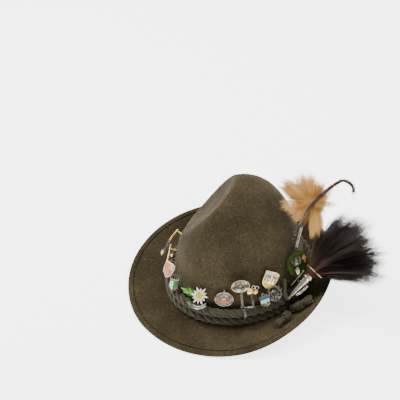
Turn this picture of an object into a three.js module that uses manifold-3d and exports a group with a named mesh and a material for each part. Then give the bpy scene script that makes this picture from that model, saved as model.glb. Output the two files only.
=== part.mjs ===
// A Tyrolean felt hat with a twisted cord band, enamel and metal pins, a dark hair brush and a tan hair tuft.
// Millimetres. The hat is worn with its front towards -Y and its left side towards +X.
// It lies on its brim: z = 0 is the surface. Pieces are placed round the axis of the crown's foot, and the
// whole is then moved so that the origin lies on the surface under the middle of its outline.
import * as THREE from "three";
import { mergeVertices } from "three/addons/utils/BufferGeometryUtils.js";
import Module from "manifold-3d";

// Felt
const FELT_WALL = 2.5;
const FOOT_HALF_LENGTH = 97;
const FOOT_HALF_WIDTH = 80;
const CROWN_TOP = 153;
const FRONT_RISE = 14;
const BREAK_RADIUS = 5;
const BRIM_WIDTH = 51;
const APEX_TO_RIGHT = 14;
const APEX_TO_BACK = 14;
const FLATTENED = 1.6;

// Cord band: two twisted cords on top of each other round the crown's foot, tied on the wearer's left
const CORD_DIAMETER = 12;
const TAIL_DIAMETER = 7.5;
const TIE_TURN = 93;
const TIE_GAP = 8;

// Clearance between neighbouring pieces
const GAP = 0.3;

// Pins
const POST_DIAMETER = 2;
const PLATE = 1.4;
const WIRE = 1.3;
const FLOWER_RADIUS = 12.3;
const BADGE_HALF_WIDTH = 12.5;
const DISH_RADIUS = 12;
const COIL_HALF_WIDTH = 4.2;
const CASTLE_HALF_WIDTH = 10.8;
const BROOCH_HALF_WIDTH = 10.5;
const SMALL_SHIELD_HALF_WIDTH = 6.5;
const CREST_HALF_WIDTH = 7.6;
const RED_SHIELD_HALF_WIDTH = 7.8;
const ROD_DIAMETER = 1.8;
const DROP_LENGTH = 8;

// Rosette, brush, tuft and quill
const ROSETTE_HALF_WIDTH = 17.4;
const TOOTH_LENGTH = 6.5;
const BRUSH_TURN = 84.5;
const CONE_LENGTH = 42;
const BRUSH_LENGTH = 100;
const HOOP_RADIUS = 12.6;
const TUBE_DIAMETER = 5.2;
const TUFT_REACH = 40;
const QUILL_REACH = 70;
const QUILL_DIAMETER = 4;

// The undented crown, from its foot to its top: rise as a share of its height, and reach
// as a share of the foot's half width and half length.
const CROWN_PROFILE = [
  { rise: 0, reach: 1 },
  { rise: 0.12, reach: 1 },
  { rise: 0.3, reach: 0.96 },
  { rise: 0.5, reach: 0.87 },
  { rise: 0.68, reach: 0.74 },
  { rise: 0.82, reach: 0.59 },
  { rise: 0.92, reach: 0.42 },
  { rise: 0.98, reach: 0.21 },
  { rise: 1, reach: 0 },
];

// Dents pressed into the crown: turn in degrees from the front towards the wearer's left, climb as a share
// of the crown's slope, and the rest as shares of the foot's half width. Each is the mark of a rounded
// block of those half sizes, with its edge softened over the blend.
const DENTS = [
  { turn: 42, climb: 0.56, depth: 0.24, across: 1.15, along: 0.9, block: 1.1, blend: 0.24 },
  { turn: -62, climb: 0.64, depth: 0.24, across: 3, along: 4, block: 4, blend: 0.1 },
];

// The brim round the hat: turn in degrees as above, width as a share of BRIM_WIDTH, and its slope in
// degrees at the break, at the steepest place and at the edge.
const BRIM = [
  { turn: -180, width: 0.96, root: 24, steep: 66, edge: 20 },
  { turn: -135, width: 0.94, root: 22, steep: 62, edge: 20 },
  { turn: -90, width: 1.07, root: 12, steep: 36, edge: 12 },
  { turn: -60, width: 1.14, root: 2, steep: 8, edge: 4 },
  { turn: -30, width: 1.12, root: -7, steep: -10, edge: -14 },
  { turn: 0, width: 1.05, root: -10, steep: -15, edge: -20 },
  { turn: 40, width: 0.99, root: -6, steep: -8, edge: -10 },
  { turn: 75, width: 0.96, root: 8, steep: 28, edge: 10 },
  { turn: 110, width: 0.88, root: 18, steep: 56, edge: 20 },
  { turn: 145, width: 0.86, root: 24, steep: 66, edge: 20 },
  { turn: 180, width: 0.96, root: 24, steep: 66, edge: 20 },
];
const STEEPEST = 0.65;

const DEGREE = Math.PI / 180;
const COLUMNS = 52;
const CROWN_ROWS = 14;
const BREAK_ROWS = 2;
const BRIM_ROWS = 6;

const group = new THREE.Group();

// Reads one column of a table at x, smoothly between its rows.
function between(table, key, x, column) {
  const last = table.length - 1;
  let i = 0;
  while (i < last - 1 && x > table[i + 1][key]) i++;
  const slope = (k) => {
    if (k === 0 || k === last) return 0;
    return (table[k + 1][column] - table[k - 1][column]) / (table[k + 1][key] - table[k - 1][key]);
  };
  const a = table[i];
  const b = table[i + 1];
  const h = b[key] - a[key];
  const t = (x - a[key]) / h;
  const ease = t * t * (3 - 2 * t);
  return a[column] * (1 - ease) + b[column] * ease
    + h * t * (1 - t) * ((1 - t) * slope(i) - t * slope(i + 1));
}

// The smaller of two numbers, rounded off where they meet.
function softLesser(a, b, blend) {
  const near = Math.max(blend - Math.abs(a - b), 0) / blend;
  return Math.min(a, b) - near * near * near * blend / 6;
}

// The height of the felt's upper side in the break between crown and brim
const breakHeight = (turn) => FELT_WALL - FLATTENED + FRONT_RISE * (1 + Math.cos(turn)) / 2;
const crownProfile = new THREE.CatmullRomCurve3(
  CROWN_PROFILE.map((row) => new THREE.Vector3(row.reach, row.rise, 0)), false, "centripetal");

// The crown before it is dented: climb 0 at its foot, 1 at its top.
function blankCrown(turn, climb) {
  const profile = crownProfile.getPoint(climb);
  const foot = breakHeight(turn) + BREAK_RADIUS;
  return new THREE.Vector3(
    FOOT_HALF_WIDTH * profile.x * Math.sin(turn) - APEX_TO_RIGHT * profile.y,
    -FOOT_HALF_LENGTH * profile.x * Math.cos(turn) + APEX_TO_BACK * profile.y,
    foot + (CROWN_TOP - foot) * profile.y);
}

const CROWN_CORE = new THREE.Vector3(0, 0, CROWN_TOP * 0.3);

// Each dent's block as an ellipsoid: its centre, its axes and its half sizes along them.
const blocks = DENTS.map((dent) => {
  const turn = dent.turn * DEGREE;
  const step = 1e-3;
  const across = blankCrown(turn + step, dent.climb).sub(blankCrown(turn - step, dent.climb)).normalize();
  const rising = blankCrown(turn, dent.climb + step).sub(blankCrown(turn, dent.climb - step));
  const out = across.clone().cross(rising).normalize();
  const along = out.clone().cross(across);
  const centre = blankCrown(turn, dent.climb)
    .addScaledVector(out, (dent.block - dent.depth) * FOOT_HALF_WIDTH);
  const halves = [dent.across, dent.along, dent.block].map((share) => share * FOOT_HALF_WIDTH);
  return { centre, axes: [across, along, out], halves, blend: dent.blend * FOOT_HALF_WIDTH };
});

// Moves a point of the crown towards the core until it lies outside every block.
function dented(point) {
  const ray = point.clone().sub(CROWN_CORE);
  let reach = ray.length();
  ray.normalize();
  for (const block of blocks) {
    const from = CROWN_CORE.clone().sub(block.centre);
    const start = block.axes.map((axis, i) => from.dot(axis) / block.halves[i]);
    const way = block.axes.map((axis, i) => ray.dot(axis) / block.halves[i]);
    const a = way[0] ** 2 + way[1] ** 2 + way[2] ** 2;
    const b = start[0] * way[0] + start[1] * way[1] + start[2] * way[2];
    const c = start[0] ** 2 + start[1] ** 2 + start[2] ** 2 - 1;
    const inside = b * b - a * c;
    if (inside > 0 && b < 0) reach = softLesser(reach, (-b - Math.sqrt(inside)) / a, block.blend);
  }
  return CROWN_CORE.clone().addScaledVector(ray, reach);
}

const crown = (turn, climb) => dented(blankCrown(turn, climb));

// The felt's upper side. Rows run from the crown's top over the break to the brim's edge.
function feltPoint(turn, row) {
  if (row <= CROWN_ROWS) return crown(turn, 1 - row / CROWN_ROWS);
  const side = THREE.MathUtils.euclideanModulo(turn / DEGREE + 180, 360) - 180;
  const root = between(BRIM, "turn", side, "root");
  const steep = between(BRIM, "turn", side, "steep");
  const edge = between(BRIM, "turn", side, "edge");
  const width = between(BRIM, "turn", side, "width") * BRIM_WIDTH;
  const bend = Math.min((row - CROWN_ROWS) / BREAK_ROWS, 1) * (90 + root) * DEGREE;
  let out = BREAK_RADIUS * (1 - Math.cos(bend));
  let up = BREAK_RADIUS * (1 - Math.sin(bend));
  const share = Math.max(row - CROWN_ROWS - BREAK_ROWS, 0) / BRIM_ROWS;
  const steps = 24;
  for (let i = 0; i < steps; i++) {
    const at = (i + 0.5) / steps * share;
    const slope = at < STEEPEST
      ? THREE.MathUtils.lerp(root, steep, THREE.MathUtils.smoothstep(at, 0, STEEPEST))
      : THREE.MathUtils.lerp(steep, edge, THREE.MathUtils.smoothstep(at, STEEPEST, 1));
    out += Math.cos(slope * DEGREE) * width * share / steps;
    up += Math.sin(slope * DEGREE) * width * share / steps;
  }
  const outward = new THREE.Vector3(Math.sin(turn) / FOOT_HALF_WIDTH, -Math.cos(turn) / FOOT_HALF_LENGTH, 0);
  return new THREE.Vector3(FOOT_HALF_WIDTH * Math.sin(turn), -FOOT_HALF_LENGTH * Math.cos(turn), 0)
    .addScaledVector(outward.normalize(), out)
    .setZ(breakHeight(turn) + up);
}

function feltNormal(turn, row, lastRow) {
  const step = 1e-3;
  const round = feltPoint(turn + step, row).sub(feltPoint(turn - step, row));
  const down = feltPoint(turn, Math.min(row + step, lastRow)).sub(feltPoint(turn, row - step));
  return down.cross(round).normalize();
}

// A closed surface from rings of points with a pole at each end.
function closedRings(pole, rings, endPole) {
  const sides = rings[0].length;
  const points = [pole, ...rings.flat(), endPole];
  const at = (ring, side) => 1 + ring * sides + (side % sides);
  const index = [];
  for (let s = 0; s < sides; s++) {
    index.push(0, at(0, s), at(0, s + 1));
    for (let r = 0; r < rings.length - 1; r++) {
      index.push(at(r, s), at(r + 1, s), at(r + 1, s + 1));
      index.push(at(r, s), at(r + 1, s + 1), at(r, s + 1));
    }
    index.push(at(rings.length - 1, s), points.length - 1, at(rings.length - 1, s + 1));
  }
  const geometry = new THREE.BufferGeometry().setFromPoints(points);
  geometry.setIndex(index);
  return geometry;
}

// One felt shell. Its underside follows the upper side a wall lower and is pressed flat where it rests.
function feltShell() {
  const lastRow = CROWN_ROWS + BREAK_ROWS + BRIM_ROWS;
  const upper = [];
  const lower = [];
  for (let row = 1; row <= lastRow; row++) {
    const upperRing = [];
    const lowerRing = [];
    for (let column = 0; column < COLUMNS; column++) {
      const turn = column / COLUMNS * 2 * Math.PI;
      const point = feltPoint(turn, row);
      const under = point.clone().addScaledVector(feltNormal(turn, row, lastRow), -FELT_WALL);
      upperRing.push(point);
      lowerRing.push(under.setZ(Math.max(under.z, 0)));
    }
    upper.push(upperRing);
    lower.unshift(lowerRing);
  }
  const top = crown(0, 1);
  const under = top.clone().setZ(top.z - FELT_WALL);
  return closedRings(top, [...upper, ...lower], under);
}

const wasm = await Module();
wasm.setup();

function toSolid(geometry) {
  const bare = geometry.clone();
  bare.deleteAttribute("normal");
  bare.deleteAttribute("uv");
  const merged = mergeVertices(bare, 1e-4);
  return new wasm.Manifold(new wasm.Mesh({
    numProp: 3,
    vertProperties: Float32Array.from(merged.attributes.position.array),
    triVerts: Uint32Array.from(merged.index.array),
  }));
}

function toGeometry(solid) {
  const mesh = solid.getMesh();
  const geometry = new THREE.BufferGeometry();
  geometry.setAttribute("position", new THREE.BufferAttribute(mesh.vertProperties, 3));
  geometry.setIndex(new THREE.BufferAttribute(mesh.triVerts, 1));
  return geometry;
}

const fused = (...pieces) => toGeometry(pieces.map(toSolid).reduce((whole, piece) => whole.add(piece)));
const cut = (piece, tool) => toGeometry(toSolid(piece).subtract(toSolid(tool)));

const finish = (color, roughness, metalness) =>
  new THREE.MeshStandardMaterial({ color, roughness, metalness });
const FINISHES = {
  felt: finish(0x4a4230, 0.95, 0),
  cord: finish(0x3d3826, 0.9, 0),
  silver: finish(0xb9b4a8, 0.35, 1),
  gold: finish(0xd9b458, 0.35, 1),
  whiteEnamel: finish(0xf0ece2, 0.3, 0),
  yellowEnamel: finish(0xe8d31c, 0.3, 0),
  greenEnamel: finish(0x2f8f3c, 0.3, 0),
  blueEnamel: finish(0x2f7f96, 0.3, 0),
  redEnamel: finish(0xd8452a, 0.3, 0),
  moss: finish(0x2e4a17, 0.95, 0),
  ivory: finish(0xd8c79a, 0.5, 0),
  darkHair: finish(0x241a16, 0.7, 0),
  tanHair: finish(0xb98a4e, 0.8, 0),
  quill: finish(0x3a281c, 0.5, 0),
};

// Adds a named piece. Its geometry is given in the frame that the matrix describes.
function add(name, look, geometry, frame = new THREE.Matrix4()) {
  const mesh = new THREE.Mesh(geometry, FINISHES[look]);
  mesh.name = name;
  mesh.applyMatrix4(frame);
  group.add(mesh);
}

const vec = (x, y, z = 0) => new THREE.Vector3(x, y, z);

// A plate with the outline given by corners, its back at z = back.
function plate(corners, thickness, back = 0) {
  const outline = new THREE.Shape(corners.map(([x, y]) => new THREE.Vector2(x, y)));
  return new THREE.ExtrudeGeometry(outline, { depth: thickness, bevelEnabled: false }).translate(0, 0, back);
}

// Corners of an oval, or of a star where every second corner is drawn in.
function oval(halfWidth, halfHeight, count, inner = 1, x = 0, y = 0) {
  return Array.from({ length: count }, (_, i) => {
    const angle = (i + 0.5) / count * 2 * Math.PI;
    const reach = i % 2 ? inner : 1;
    return [x + halfWidth * reach * Math.cos(angle), y + halfHeight * reach * Math.sin(angle)];
  });
}

// A wire or cord of one thickness through points.
function tube(points, diameter, sides = 6, stepsPerPoint = 4) {
  const path = new THREE.CatmullRomCurve3(points, false, "centripetal");
  const section = new THREE.Shape(
    oval(diameter / 2, diameter / 2, sides).map(([x, y]) => new THREE.Vector2(x, y)));
  const steps = (points.length - 1) * stepsPerPoint;
  return new THREE.ExtrudeGeometry(section, { extrudePath: path, steps, bevelEnabled: false });
}

// A straight round bar from one point to another, its radii given at both ends.
function bar(from, to, fromRadius, toRadius = fromRadius, sides = 8) {
  const way = to.clone().sub(from);
  const geometry = new THREE.CylinderGeometry(toRadius, fromRadius, way.length(), sides);
  const turned = new THREE.Quaternion().setFromUnitVectors(vec(0, 1, 0), way.clone().normalize());
  return geometry.applyQuaternion(turned).translate(...from.clone().add(to).multiplyScalar(0.5).toArray());
}

// A rounded lump with three half sizes.
const lump = (centre, x, y, z, sides = 10) =>
  new THREE.SphereGeometry(1, sides, Math.ceil(sides * 0.6)).scale(x, y, z).translate(...centre.toArray());

// A lock of hair: a body that swells along its bend and closes to a point at its tip.
function lock(root, control, tip, rootRadius, bellyRadius, sides = 6) {
  const path = new THREE.QuadraticBezierCurve3(root, control, tip);
  const rings = 4;
  const frames = path.computeFrenetFrames(rings, false);
  const sections = [];
  for (let i = 0; i < rings; i++) {
    const share = i / rings;
    const radius = share < 0.6
      ? THREE.MathUtils.lerp(rootRadius, bellyRadius, share / 0.6)
      : bellyRadius * (1 - (share - 0.6) / 0.55);
    sections.push(oval(radius, radius, sides).map(([x, y]) => path.getPoint(share)
      .addScaledVector(frames.normals[i], x).addScaledVector(frames.binormals[i], -y)));
  }
  return closedRings(root.clone(), sections, tip.clone());
}

// The climb at which the dented crown passes a height.
function climbAt(turn, height) {
  let low = 0;
  let high = 1;
  for (let i = 0; i < 30; i++) {
    const middle = (low + high) / 2;
    if (crown(turn, middle).z < height) low = middle;
    else high = middle;
  }
  return low;
}

// The point at a height of the crown's wall and the direction straight away from it.
function wallAt(turn, height) {
  const angle = turn * DEGREE;
  const row = CROWN_ROWS * (1 - climbAt(angle, height));
  return { turn, height, point: feltPoint(angle, row), out: feltNormal(angle, row, CROWN_ROWS) };
}

// A place off the crown's wall: turn in degrees, and in cord diameters its height above the break, where
// the band starts, and the distance that it stands off the felt.
function offWall({ turn, above, stand }) {
  const { point, out } = wallAt(turn, breakHeight(turn * DEGREE) + above * CORD_DIAMETER);
  return { point: point.addScaledVector(out, stand * CORD_DIAMETER), out };
}

// The frame of a pin: x to the right of someone facing it, y up, z away from the felt it stands off.
// Tip turns its face upwards, yaw sideways and spin in its own plane.
function pinFrame({ tip = 0, yaw = 0, spin = 0, ...place }) {
  const { point, out } = offWall(place);
  const right = vec(0, 0, 1).cross(out).normalize();
  const wall = new THREE.Matrix4().makeBasis(right, out.clone().cross(right), out).setPosition(point);
  const face = new THREE.Euler(-tip * DEGREE, yaw * DEGREE, spin * DEGREE, "YXZ");
  return wall.multiply(new THREE.Matrix4().makeRotationFromEuler(face));
}

// Points of the crown from the band up, to find the nearest one
const wallPoints = [];
for (let turn = -180; turn < 180; turn += 2) {
  for (let share = 0.23; share < 0.65; share += 0.007) wallPoints.push(wallAt(turn, CROWN_TOP * share));
}

// The post that carries a pin: from a point at its back straight to the nearest felt, in the pin's frame.
function post(frame, at = vec(0, 0, 0)) {
  const from = at.clone().applyMatrix4(frame);
  const distance = (wall) => wall.point.distanceToSquared(from);
  let nearest = wallPoints.reduce((best, wall) => (distance(wall) < distance(best) ? wall : best));
  for (let step = 1; step > 0.05; step /= 2) {
    for (const [turn, height] of [[step, 0], [-step, 0], [0, step], [0, -step]]) {
      const other = wallAt(nearest.turn + turn, nearest.height + height);
      if (distance(other) < distance(nearest)) nearest = other;
    }
  }
  const foot = nearest.point.clone().lerp(from, GAP / nearest.point.distanceTo(from));
  const radius = POST_DIAMETER / 2;
  return bar(from, foot, radius, radius, 6).applyMatrix4(frame.clone().invert());
}

// An upright section through crown and brim: the felt as distance out from the crown's foot and height
function section(turn) {
  const angle = turn * DEGREE;
  const foot = vec(FOOT_HALF_WIDTH * Math.sin(angle), -FOOT_HALF_LENGTH * Math.cos(angle));
  const out = vec(Math.sin(angle) / FOOT_HALF_WIDTH, -Math.cos(angle) / FOOT_HALF_LENGTH).normalize();
  const felt = [];
  for (let row = CROWN_ROWS * 0.6; row <= CROWN_ROWS + BREAK_ROWS + BRIM_ROWS; row += 0.2) {
    const point = feltPoint(angle, row);
    felt.push(new THREE.Vector2(point.clone().sub(foot).dot(out), point.z));
  }
  const at = (x, z) => foot.clone().addScaledVector(out, x).setZ(z);
  return { felt, at };
}

// Pushes a circle's centre out of the points it is too near to.
function pushedOut(centre, distance, points) {
  for (const point of points) {
    const away = centre.clone().sub(point);
    const missing = distance - away.length();
    if (missing > 0) centre.addScaledVector(away.normalize(), missing);
  }
}

// The two cords' centres where they lie in the corner between crown and brim, one on the other.
function band(turn) {
  const radius = CORD_DIAMETER / 2;
  const { felt, at } = section(turn);
  const floor = breakHeight(turn * DEGREE);
  const lower = new THREE.Vector2(radius + GAP, floor + radius + GAP);
  const upper = new THREE.Vector2(radius, floor + 3 * radius + 2 * GAP);
  for (let i = 0; i < 40; i++) {
    pushedOut(lower, radius + GAP, felt);
    pushedOut(upper, radius + GAP, felt);
    pushedOut(upper, CORD_DIAMETER + GAP, [lower]);
  }
  return { lower: at(lower.x, lower.y), upper: at(upper.x, upper.y) };
}

// The centre of a ball that lies on the brim at a distance out from the crown's foot.
function onBrim(turn, out, radius) {
  const { felt, at } = section(turn);
  const reach = radius + GAP;
  const heights = felt.filter((point) => point.y < CROWN_TOP * 0.4 && Math.abs(point.x - out) < reach)
    .map((point) => point.y + Math.sqrt(reach ** 2 - (point.x - out) ** 2));
  return at(out, Math.max(...heights));
}

// A point beside the upper cord: angle 90 is on top of it, 0 straight out.
function overBand(turn, angle, away) {
  const { upper } = band(turn);
  const { at } = section(turn);
  const out = at(1, 0).sub(at(0, 0)).setZ(0).normalize();
  return upper.clone().addScaledVector(out, away * Math.cos(angle * DEGREE))
    .add(vec(0, 0, away * Math.sin(angle * DEGREE)));
}

// Felt and cord band

add("felt_body", "felt", feltShell());

const BAND_STOPS = 28;
const bandCentres = Array.from({ length: BAND_STOPS + 1 },
  (_, i) => band(TIE_TURN + TIE_GAP / 2 + (360 - TIE_GAP) * i / BAND_STOPS));
add("cord_lower", "cord", tube(bandCentres.map((centre) => centre.lower), CORD_DIAMETER, 6, 2));
add("cord_upper", "cord", tube(bandCentres.map((centre) => centre.upper), CORD_DIAMETER, 6, 2));

// The wrapping that closes the band, between the cords' ends
function cordTie() {
  const corners = [bandCentres[0], bandCentres[BAND_STOPS]].flatMap((centre) => [centre.lower, centre.upper]);
  const middle = corners.reduce((sum, corner) => sum.add(corner), vec(0, 0, 0)).divideScalar(4);
  const along = corners[0].clone().sub(corners[2]).setZ(0).normalize();
  const up = corners[1].clone().sub(corners[0]).normalize();
  const frame = new THREE.Matrix4().makeBasis(along, up, along.clone().cross(up)).setPosition(middle);
  const halfLength = corners[0].distanceTo(corners[2]) / 2 - GAP * 4;
  const halfHeight = corners[1].distanceTo(corners[0]) / 2;
  const radius = CORD_DIAMETER / 2 - GAP;
  const outline = oval(radius, radius, 12).map(([x, y]) => [x, y + Math.sign(y) * halfHeight]);
  add("cord_tie", "cord", plate(outline, halfLength * 2, -halfLength).rotateY(Math.PI / 2), frame);
}
cordTie();

// The cords' two ends lie on the brim: turn in degrees, way out from the crown's foot as a share of
// BRIM_WIDTH, and the knot's size as a share of TAIL_DIAMETER, 0 where there is none.
const BACK_END = [
  { turn: 90.5, out: 0.353, knot: 0 },
  { turn: 86, out: 0.422, knot: 1.4 },
  { turn: 87.5, out: 0.559, knot: 1.8 },
  { turn: 93, out: 0.657, knot: 1.65 },
];
const FRONT_END = [
  { turn: 81, out: 0.353, knot: 0 },
  { turn: 78, out: 0.451, knot: 0 },
  { turn: 76.5, out: 0.578, knot: 1.7 },
  { turn: 70, out: 0.647, knot: 1.45 },
];

function cordEnd(name, rows) {
  const points = rows.map(({ turn, out, knot }) =>
    onBrim(turn, out * BRIM_WIDTH, Math.max(knot, 1.15) * TAIL_DIAMETER / 2));
  const lumps = rows.map(({ knot }, i) => [knot * TAIL_DIAMETER / 2, points[i]])
    .filter(([radius]) => radius > 0).map(([radius, at]) => lump(at, radius, radius, radius, 7));
  add(name, "cord", fused(tube(points, TAIL_DIAMETER, 7, 2), ...lumps));
}
cordEnd("cord_end_back", BACK_END);
cordEnd("cord_end_front", FRONT_END);

// Pins on the front and the wearer's left. Sizes of each in its own frame.

const places = {
  flower: pinFrame({ turn: 13.7, above: 2.94, stand: 0.71, tip: 30 }),
  badge: pinFrame({ turn: 34.1, above: 2.9, stand: 0.22, tip: 4 }),
  dish: pinFrame({ turn: 47, above: 4.375, stand: 0.46, tip: 15 }),
  coil: pinFrame({ turn: 55.7, above: 3.59, stand: 0.29 }),
  castle: pinFrame({ turn: 73.4, above: 4.2, stand: 0.2, spin: -38 }),
  antlers: pinFrame({ turn: 74.5, above: 2.77, stand: 0.79, tip: 30 }),
  smallShield: pinFrame({ turn: 64.7, above: 2.6, stand: 1.25, tip: 26 }),
  crest: pinFrame({ turn: -14.9, above: 2.7, stand: 0.83, tip: 26, yaw: 15, spin: 18 }),
  redShield: pinFrame({ turn: -30.5, above: 2.82, stand: 0.75, tip: 14, yaw: 35 }),
  rodTop: pinFrame({ turn: -51.3, above: 3.445, stand: 0.75 }),
  rodFoot: pinFrame({ turn: -49.5, above: 2.104, stand: 0.875 }),
  chainTop: pinFrame({ turn: -50.2, above: 5.72, stand: 0.6 }),
};

// Corners or points given as shares of a size
const sized = (shares, size) => shares.map((row) => row.map((share) => share * size));
const lathe = (profile, size, sides) => new THREE.LatheGeometry(
  sized(profile, size).map(([x, y]) => new THREE.Vector2(x, y)), sides).rotateX(Math.PI / 2);

const RIBBON = [[-1.06, -0.77], [-0.93, -1.22], [-0.16, -1.54], [0.77, -1.1], [0.65, -0.73], [-0.12, -1.1]];

// Leaves: place, length and width as shares of FLOWER_RADIUS, and angle in degrees
const LEAVES = [
  { x: -1.54, y: 0.16, length: 1.46, width: 0.65, angle: -6 },
  { x: -0.65, y: 0.41, length: 1.14, width: 0.57, angle: 100 },
  { x: -0.98, y: -0.33, length: 1.14, width: 0.53, angle: 215 },
];

function edelweiss() {
  const r = FLOWER_RADIUS;
  const front = PLATE + GAP;
  const behind = -2 * PLATE - GAP;
  add("edelweiss_petals", "whiteEnamel",
    fused(plate(oval(r, r, 24, 0.62), PLATE), post(places.flower)), places.flower);
  const buds = oval(0.31 * r, 0.31 * r, 5)
    .map(([x, y]) => lump(vec(x, y, front + 0.11 * r), 0.154 * r, 0.154 * r, 0.11 * r, 5));
  add("edelweiss_florets", "yellowEnamel", fused(plate(oval(0.29 * r, 0.29 * r, 8), 0.08 * r, front),
    lump(vec(0, 0, front + 0.15 * r), 0.18 * r, 0.18 * r, 0.15 * r, 5), ...buds), places.flower);
  const leaves = LEAVES.map(({ x, y, length, width, angle }) =>
    plate(oval(length * r / 2, width * r / 2, 8), PLATE, behind)
      .rotateZ(angle * DEGREE).translate(x * r, y * r, 0));
  const stalks = plate(oval(0.57 * r, 0.41 * r, 8), PLATE, behind).translate(-0.73 * r, 0, 0);
  add("edelweiss_leaves", "greenEnamel",
    fused(stalks, ...leaves, post(places.flower, vec(-0.9 * r, 0, behind + PLATE / 2))), places.flower);
  const stalk = bar(vec(0.08 * r, -1.14 * r, -PLATE), vec(0.08 * r, -0.24 * r, -PLATE),
    0.065 * r, 0.065 * r, 5);
  add("edelweiss_ribbon", "silver", fused(plate(sized(RIBBON, r), PLATE, behind + PLATE), stalk,
    post(places.flower, vec(0.08 * r, -0.33 * r, -PLATE))), places.flower);
}

const HUT = [[-0.35, -0.31], [0.35, -0.31], [0.35, 0], [0, 0.35], [-0.35, 0]];

function ovalBadge() {
  const w = BADGE_HALF_WIDTH;
  const recess = plate(oval(0.83 * w, 0.62 * w, 20), w, 0.077 * w);
  const rim = cut(plate(oval(w, 0.79 * w, 20), 0.17 * w), recess);
  add("badge_rim", "silver", fused(rim, post(places.badge)), places.badge);
  add("badge_picture", "redEnamel", fused(plate(oval(0.8 * w, 0.59 * w, 20), 0.06 * w, 0.1 * w),
    plate(sized(HUT, w), 0.05 * w, 0.15 * w)), places.badge);
}

// The dish's outline: radius and height as shares of DISH_RADIUS
const DISH = [[0, 0], [0.5, 0.05], [1, 0.37], [0.95, 0.42], [0.47, 0.16], [0, 0.12]];

function hornDish() {
  const r = DISH_RADIUS;
  const stud = lump(vec(0, 0, 0.17 * r), 0.22 * r, 0.18 * r, 0.17 * r, 8);
  const bowl = lathe(DISH, r, 14).scale(1, 0.62, 1);
  add("horn_dish", "silver", fused(bowl, stud, post(places.dish)), places.dish);
  const c = COIL_HALF_WIDTH;
  const end = vec(1.66 * c, -0.45 * c, 0.12 * c);
  add("horn_coil", "gold", fused(lump(vec(0, 0, 0), c, 1.3 * c, 0.62 * c, 8),
    lump(end, c, 0.88 * c, 0.57 * c, 8), bar(vec(0, 0, 0), end, c / 3, c / 3, 6), post(places.coil)),
  places.coil);
}

// Silver cords hang from the dish over the band
function hornCords() {
  const clear = CORD_DIAMETER / 2 + 3 * GAP + WIRE;
  const wide = clear + CORD_DIAMETER / 4;
  const top = vec(-0.08, -0.7, 0.33).multiplyScalar(DISH_RADIUS).applyMatrix4(places.dish);
  const end = vec(0.48, -1.19, 0.48).multiplyScalar(COIL_HALF_WIDTH).applyMatrix4(places.coil);
  const hanging = [top, overBand(48.5, 88, wide), overBand(49.5, 45, clear), overBand(50, 5, clear)];
  const cross = [hanging[1], overBand(53, 80, wide), overBand(57, 75, wide + WIRE / 2), end];
  const tassel = lump(hanging[3], 1.5 * WIRE, 1.5 * WIRE, 2.3 * WIRE, 6);
  add("horn_cords", "silver", fused(tube(hanging, WIRE * 1.5, 5, 2), tube(cross, WIRE * 1.5, 5, 2), tassel));
}

// Outlines of the shields and the crest, as shares of their half widths
const CASTLE = [[-1, 0.78], [-1, -0.17], [-0.61, -0.78], [0, -1.07], [0.61, -0.78], [1, -0.17], [1, 0.78],
  [0.52, 1.07], [-0.52, 1.07]];
const TOWERS = [
  { x: -0.48, width: 0.3, foot: -0.43, top: 0.26 },
  { x: 0, width: 0.35, foot: -0.43, top: 0.57 },
  { x: 0.48, width: 0.3, foot: -0.43, top: 0.26 },
  { x: 0, width: 1.25, foot: -0.48, top: -0.04 },
];
const SMALL_SHIELD = [[-1, 1.08], [-1, -0.23], [0, -1.08], [1, -0.23], [1, 1.08]];
const CREST = [[-1, 0.29], [-1, -0.71], [0, -1.64], [1, -0.71], [1, 0.29], [0.79, 0.51], [1, 1.29],
  [0.49, 0.94], [0, 1.64], [-0.49, 0.94], [-1, 1.29], [-0.79, 0.51]];
const CREST_FIELD = [[-0.71, 0.14], [-0.71, -0.6], [0, -1.26], [0.71, -0.6], [0.71, 0.14]];
const RED_SHIELD = [[-1, 1.4], [-1, -0.4], [0, -1.4], [1, -0.4], [1, 1.4]];

// A shield with a raised rim
function tray(outline, size) {
  const rim = sized(outline, size);
  return cut(plate(rim, 1.36 * PLATE), plate(sized(rim, 0.85), PLATE, 0.86 * PLATE));
}

function castleShield() {
  const w = CASTLE_HALF_WIDTH;
  const towers = TOWERS.map(({ x, width, foot, top }) => plate(sized([[x - width / 2, foot],
    [x + width / 2, foot], [x + width / 2, top], [x - width / 2, top]], w), PLATE, 0.5 * PLATE));
  add("castle_shield", "gold", fused(tray(CASTLE, w), ...towers, post(places.castle)), places.castle);
}

function leftPins() {
  const w = BROOCH_HALF_WIDTH;
  const middle = vec(0, 0, PLATE / 2);
  const hole = plate(oval(0.57 * w, 0.67 * w, 8), 2 * PLATE, -PLATE / 2);
  const rim = cut(plate(oval(w, 1.09 * w, 14, 0.84), PLATE), hole);
  const tines = [25, 155, 270].map((angle) => {
    const way = vec(0.76 * w * Math.cos(angle * DEGREE), 0.86 * w * Math.sin(angle * DEGREE));
    return bar(middle, middle.clone().add(way), 0.1 * w, 0.08 * w, 4);
  });
  const heart = lump(middle, 0.38 * w, 0.48 * w, 0.15 * w, 6);
  add("antler_brooch", "silver", fused(rim, ...tines, heart, post(places.antlers)), places.antlers);
  const h = SMALL_SHIELD_HALF_WIDTH;
  const ring = new THREE.TorusGeometry(0.31 * h, 0.11 * h, 5, 8).translate(0, 1.32 * h, PLATE / 2);
  add("small_shield", "blueEnamel",
    fused(plate(sized(SMALL_SHIELD, h), PLATE), ring, post(places.smallShield)), places.smallShield);
}

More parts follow.
